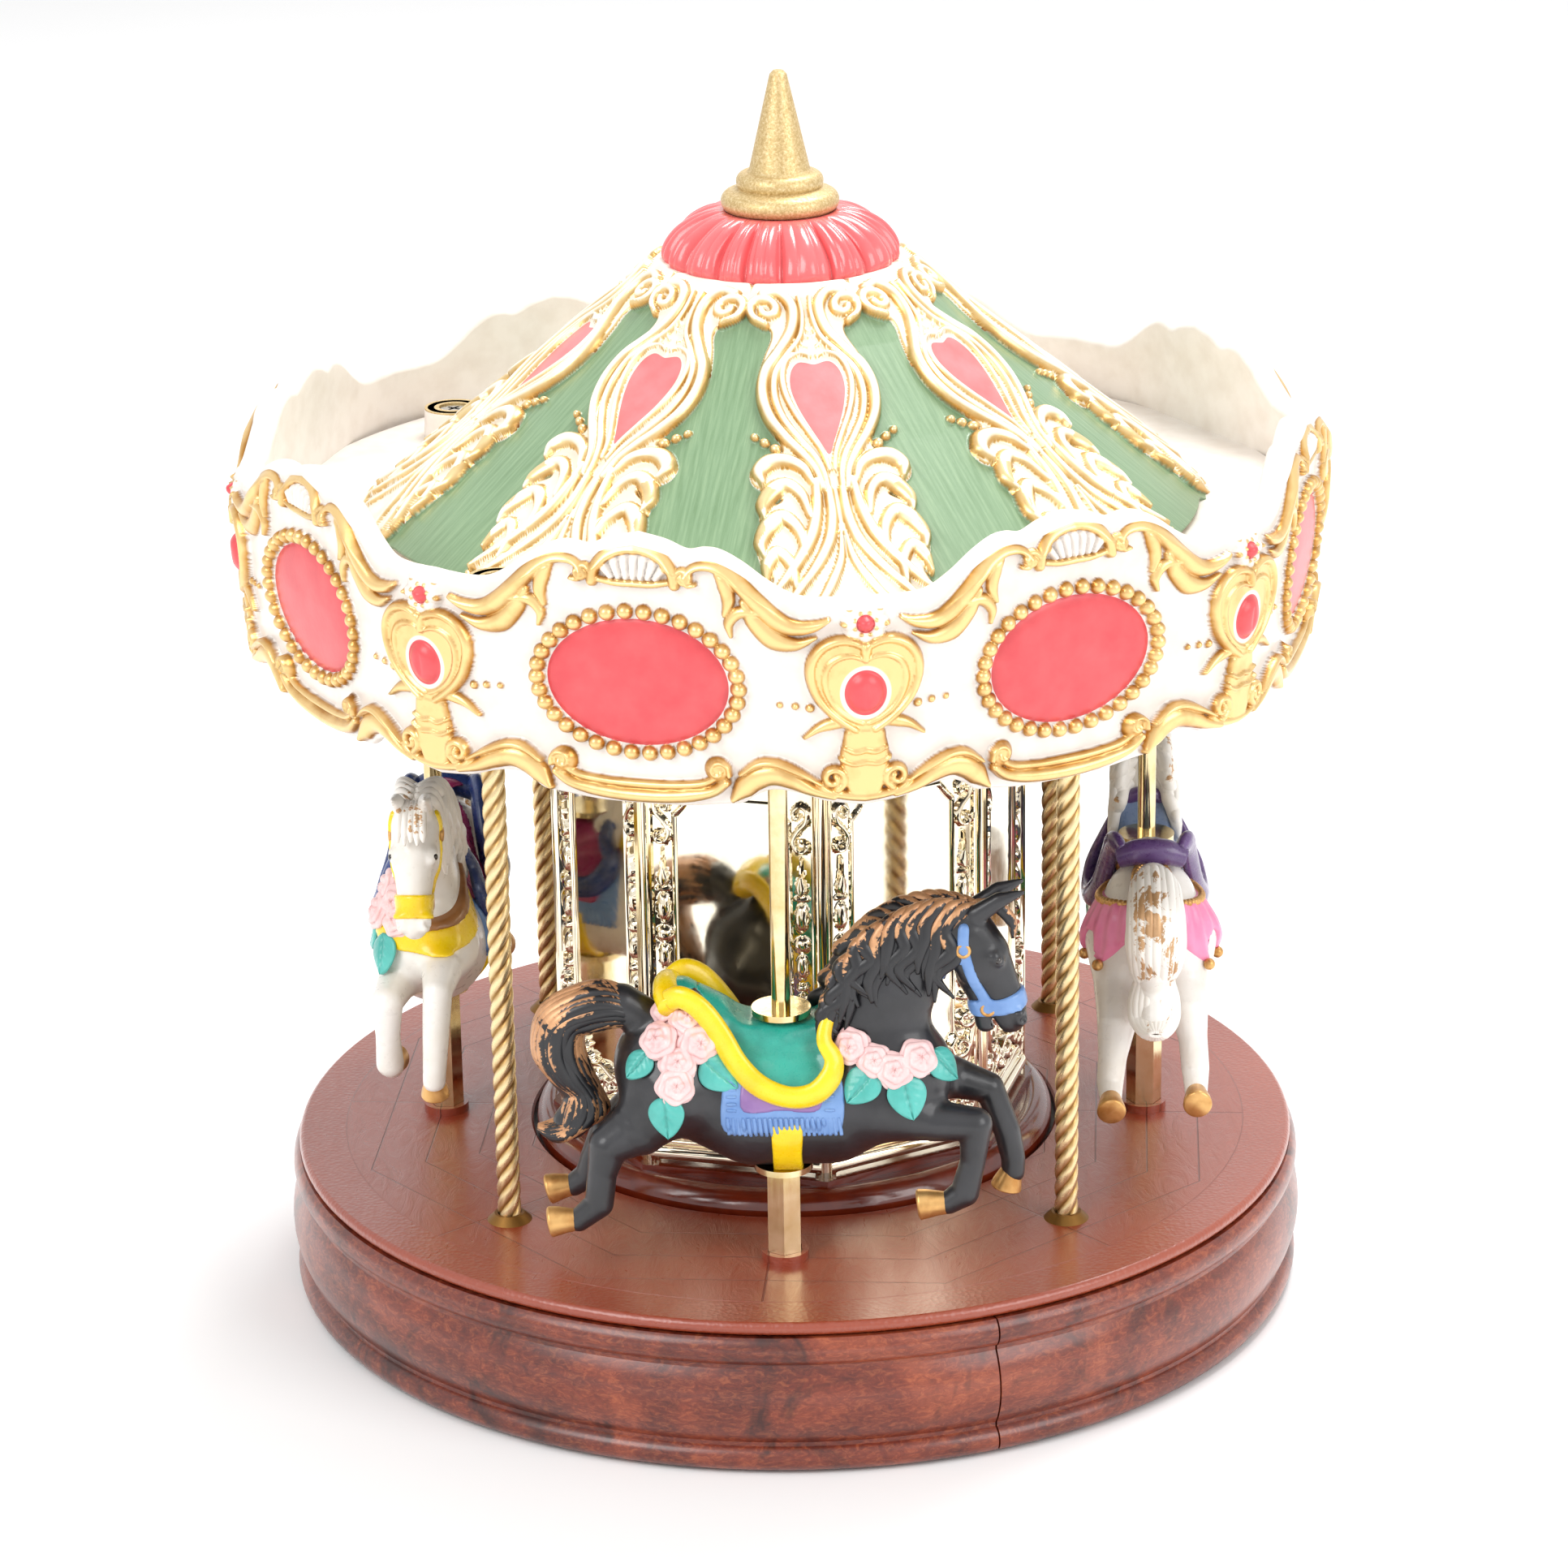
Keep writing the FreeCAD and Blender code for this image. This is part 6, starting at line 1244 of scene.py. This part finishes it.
# where the cheek strap meets the throat strap and the noseband: (forward, up)
BUCKLES = [(39.9, 15.8), (45.4, 1.4)]
NOSEBAND = {"left": 2.7}  # half its width, where it isn't the usual one
USUAL_NOSEBAND = 1.95


def bridle_straps(body, add, bridle, noseband):
    """Cheek strap, throat strap and noseband, with a gold ring where they meet."""
    straps = [inside_strap([(39.9, 20.4), (39.9, 15.8), (42.0, 8.4), (45.6, 1.4)], 1.25),
              inside_strap([(39.9, 15.8), (37.2, 12.4), (34.2, 8.6)], 1.5),
              inside_strap([(42.4, 1.0), (48, 1.6), (54.6, 3.8)], noseband)]
    add("bridle", skin(wrapped(body, np.maximum.reduce(straps), 0.85)), TACK[bridle])
    rings = [ring(on_flank(body, x, z, side, 0.9)[0], 1.35, 0.42) for side in (-1, 1) for x, z in BUCKLES]
    add("buckles", merge(rings), TACK["gilt"])


def horse(name, body, coat, hair_name, bridle, seat, trim, blanket, centre, girth):
    """One horse with all it wears, set on its tube and riding on its own body. Gives what adds more to it."""
    low, high = (np.array(corner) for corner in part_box(f"{name}_tube"))
    axis = (low + high) / 2 / MM
    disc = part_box(f"{name}_discs")[1][2] / MM - SADDLE_DISC
    out = axis[:2] / np.hypot(*axis[:2])
    turn = np.array([[-out[1], out[0], 0], [-out[0], -out[1], 0], [0, 0, 1]])

    def add(part, parts, finish, marks=None, crease=None):
        placed = np.asarray(parts[0]) @ turn + np.array([axis[0], axis[1], disc])
        return mesh_piece(f"{name}_{part}", placed, parts[1], finish, f"{name}_rider", marks, crease)

    figure = add("figure", skin(body), FINISHES[coat])
    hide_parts(f"{name}_horse")
    add("hooves", hooves(), TACK["gilt"], None, 50)
    add("eyes", merge([bead((47.3, side * 4.7, 13.1), 0.95) for side in (-1, 1)]), TACK["eye"])
    for part, locks in (("mane", mane()), ("tail", tail_hair())):
        add(part, locks, HAIR[hair_name], {"ridge": locks[2]})
    saddle(body, add, seat, trim)
    saddle_cloth(body, add, blanket, centre, girth)
    bridle_straps(body, add, bridle, NOSEBAND.get(name, USUAL_NOSEBAND))
    return add


def horses():
    """The four horses, and what only one or two of them wear."""
    body = horse_figure()
    adders = {name: horse(name, body, *colors) for name, colors in HORSES.items()}
    for name in ("front", "rear"):
        flowers(body, adders[name], "rump", *RUMP)
        flowers(body, adders[name], "chest", *CHEST)
    flowers(body, adders["left"], "chest", *POSY)
    breast_collar(body, adders["left"])
    rump_drape(body, adders["right"])


# ---------------------------------------------------------------- stage

# lens and sensor in mm, angles in degrees; all but the sensor follow from the photo's perspective
CAMERA_LENS, CAMERA_SENSOR = 109.39, 36.0
CAMERA_ELEVATION, CAMERA_ROLL = 19.529, -0.926
CAMERA_DISTANCE = 1113.04
CAMERA_AIM = (-1.227, 0.0, 118.04)


def camera():
    """Camera in front of the music box, a little above it."""
    data = bpy.data.cameras.new("camera")
    data.lens = CAMERA_LENS
    data.sensor_width = CAMERA_SENSOR
    data.clip_end = 20.0
    eye = bpy.data.objects.new("camera", data)
    rise = math.radians(CAMERA_ELEVATION)
    back = np.array([0, -math.cos(rise), math.sin(rise)]) * CAMERA_DISTANCE
    place = Matrix.Translation((np.array(CAMERA_AIM) + back) * MM)
    eye.matrix_world = (place @ Matrix.Rotation(math.pi / 2 - rise, 4, "X")
                        @ Matrix.Rotation(math.radians(CAMERA_ROLL), 4, "Z"))
    bpy.context.scene.collection.objects.link(eye)
    bpy.context.scene.camera = eye


# in metres and watts: where each lamp stands, the height on the axis it faces, its side and its power
LAMPS = {"key_lamp": ((-0.9, -1.0, 1.1), 0.13, 0.9, 13.0), "fill_lamp": ((1.1, -0.9, 0.8), 0.13, 0.9, 9.0),
         "top_lamp": ((0.35, 0.55, 1.5), 0.1, 0.7, 20.0)}
SURROUNDINGS = (1.0, 0.72)  # brightness of the white surroundings to mirrors and camera, and to diffuse rays
FLOOR_HALF = 3.0


def light(name, spot, aim, size, power):
    """A soft square lamp that faces a point."""
    data = bpy.data.lights.new(name, "AREA")
    data.shape = "SQUARE"
    data.size = size
    data.energy = power
    lamp = bpy.data.objects.new(name, data)
    lamp.location = spot
    lamp.rotation_euler = (Vector(spot) - Vector((0, 0, aim))).to_track_quat("Z", "Y").to_euler()
    bpy.context.scene.collection.objects.link(lamp)


def studio():
    """Pale floor, white surroundings and soft lamps."""
    scene = bpy.context.scene
    scene.view_settings.view_transform = "Standard"
    world = bpy.data.worlds.new("studio")
    world.use_nodes = True
    tree = world.node_tree
    background = tree.nodes["Background"]
    background.inputs["Color"].default_value = (1, 1, 1, 1)
    strength = tree.nodes.new("ShaderNodeMapRange")
    strength.inputs["To Min"].default_value, strength.inputs["To Max"].default_value = SURROUNDINGS
    tree.links.new(tree.nodes.new("ShaderNodeLightPath").outputs["Is Diffuse Ray"], strength.inputs["Value"])
    tree.links.new(strength.outputs["Result"], background.inputs["Strength"])
    scene.world = world
    finish = Finish("studio_floor", roughness=0.7, specular=0.1)
    finish.set(color=finish.ramp(finish.noise(3.0), (0.0, "fafafa"), (1.0, "fdfdfd")))
    mesh = bpy.data.meshes.new("floor")
    corners = [(x * FLOOR_HALF, y * FLOOR_HALF, 0) for x, y in ((-1, -1), (1, -1), (1, 1), (-1, 1))]
    mesh.from_pydata(corners, [], [(0, 1, 2, 3)])
    mesh.materials.append(finish.material)
    floor = bpy.data.objects.new("floor", mesh)
    scene.collection.objects.link(floor)
    for name, settings in LAMPS.items():
        light(name, *settings)


dress_nodes()
canopy_crown()
canopy_tray()
roof()
roof_cap()
mirror_panels()
twisted_poles()
horses()
camera()
studio()
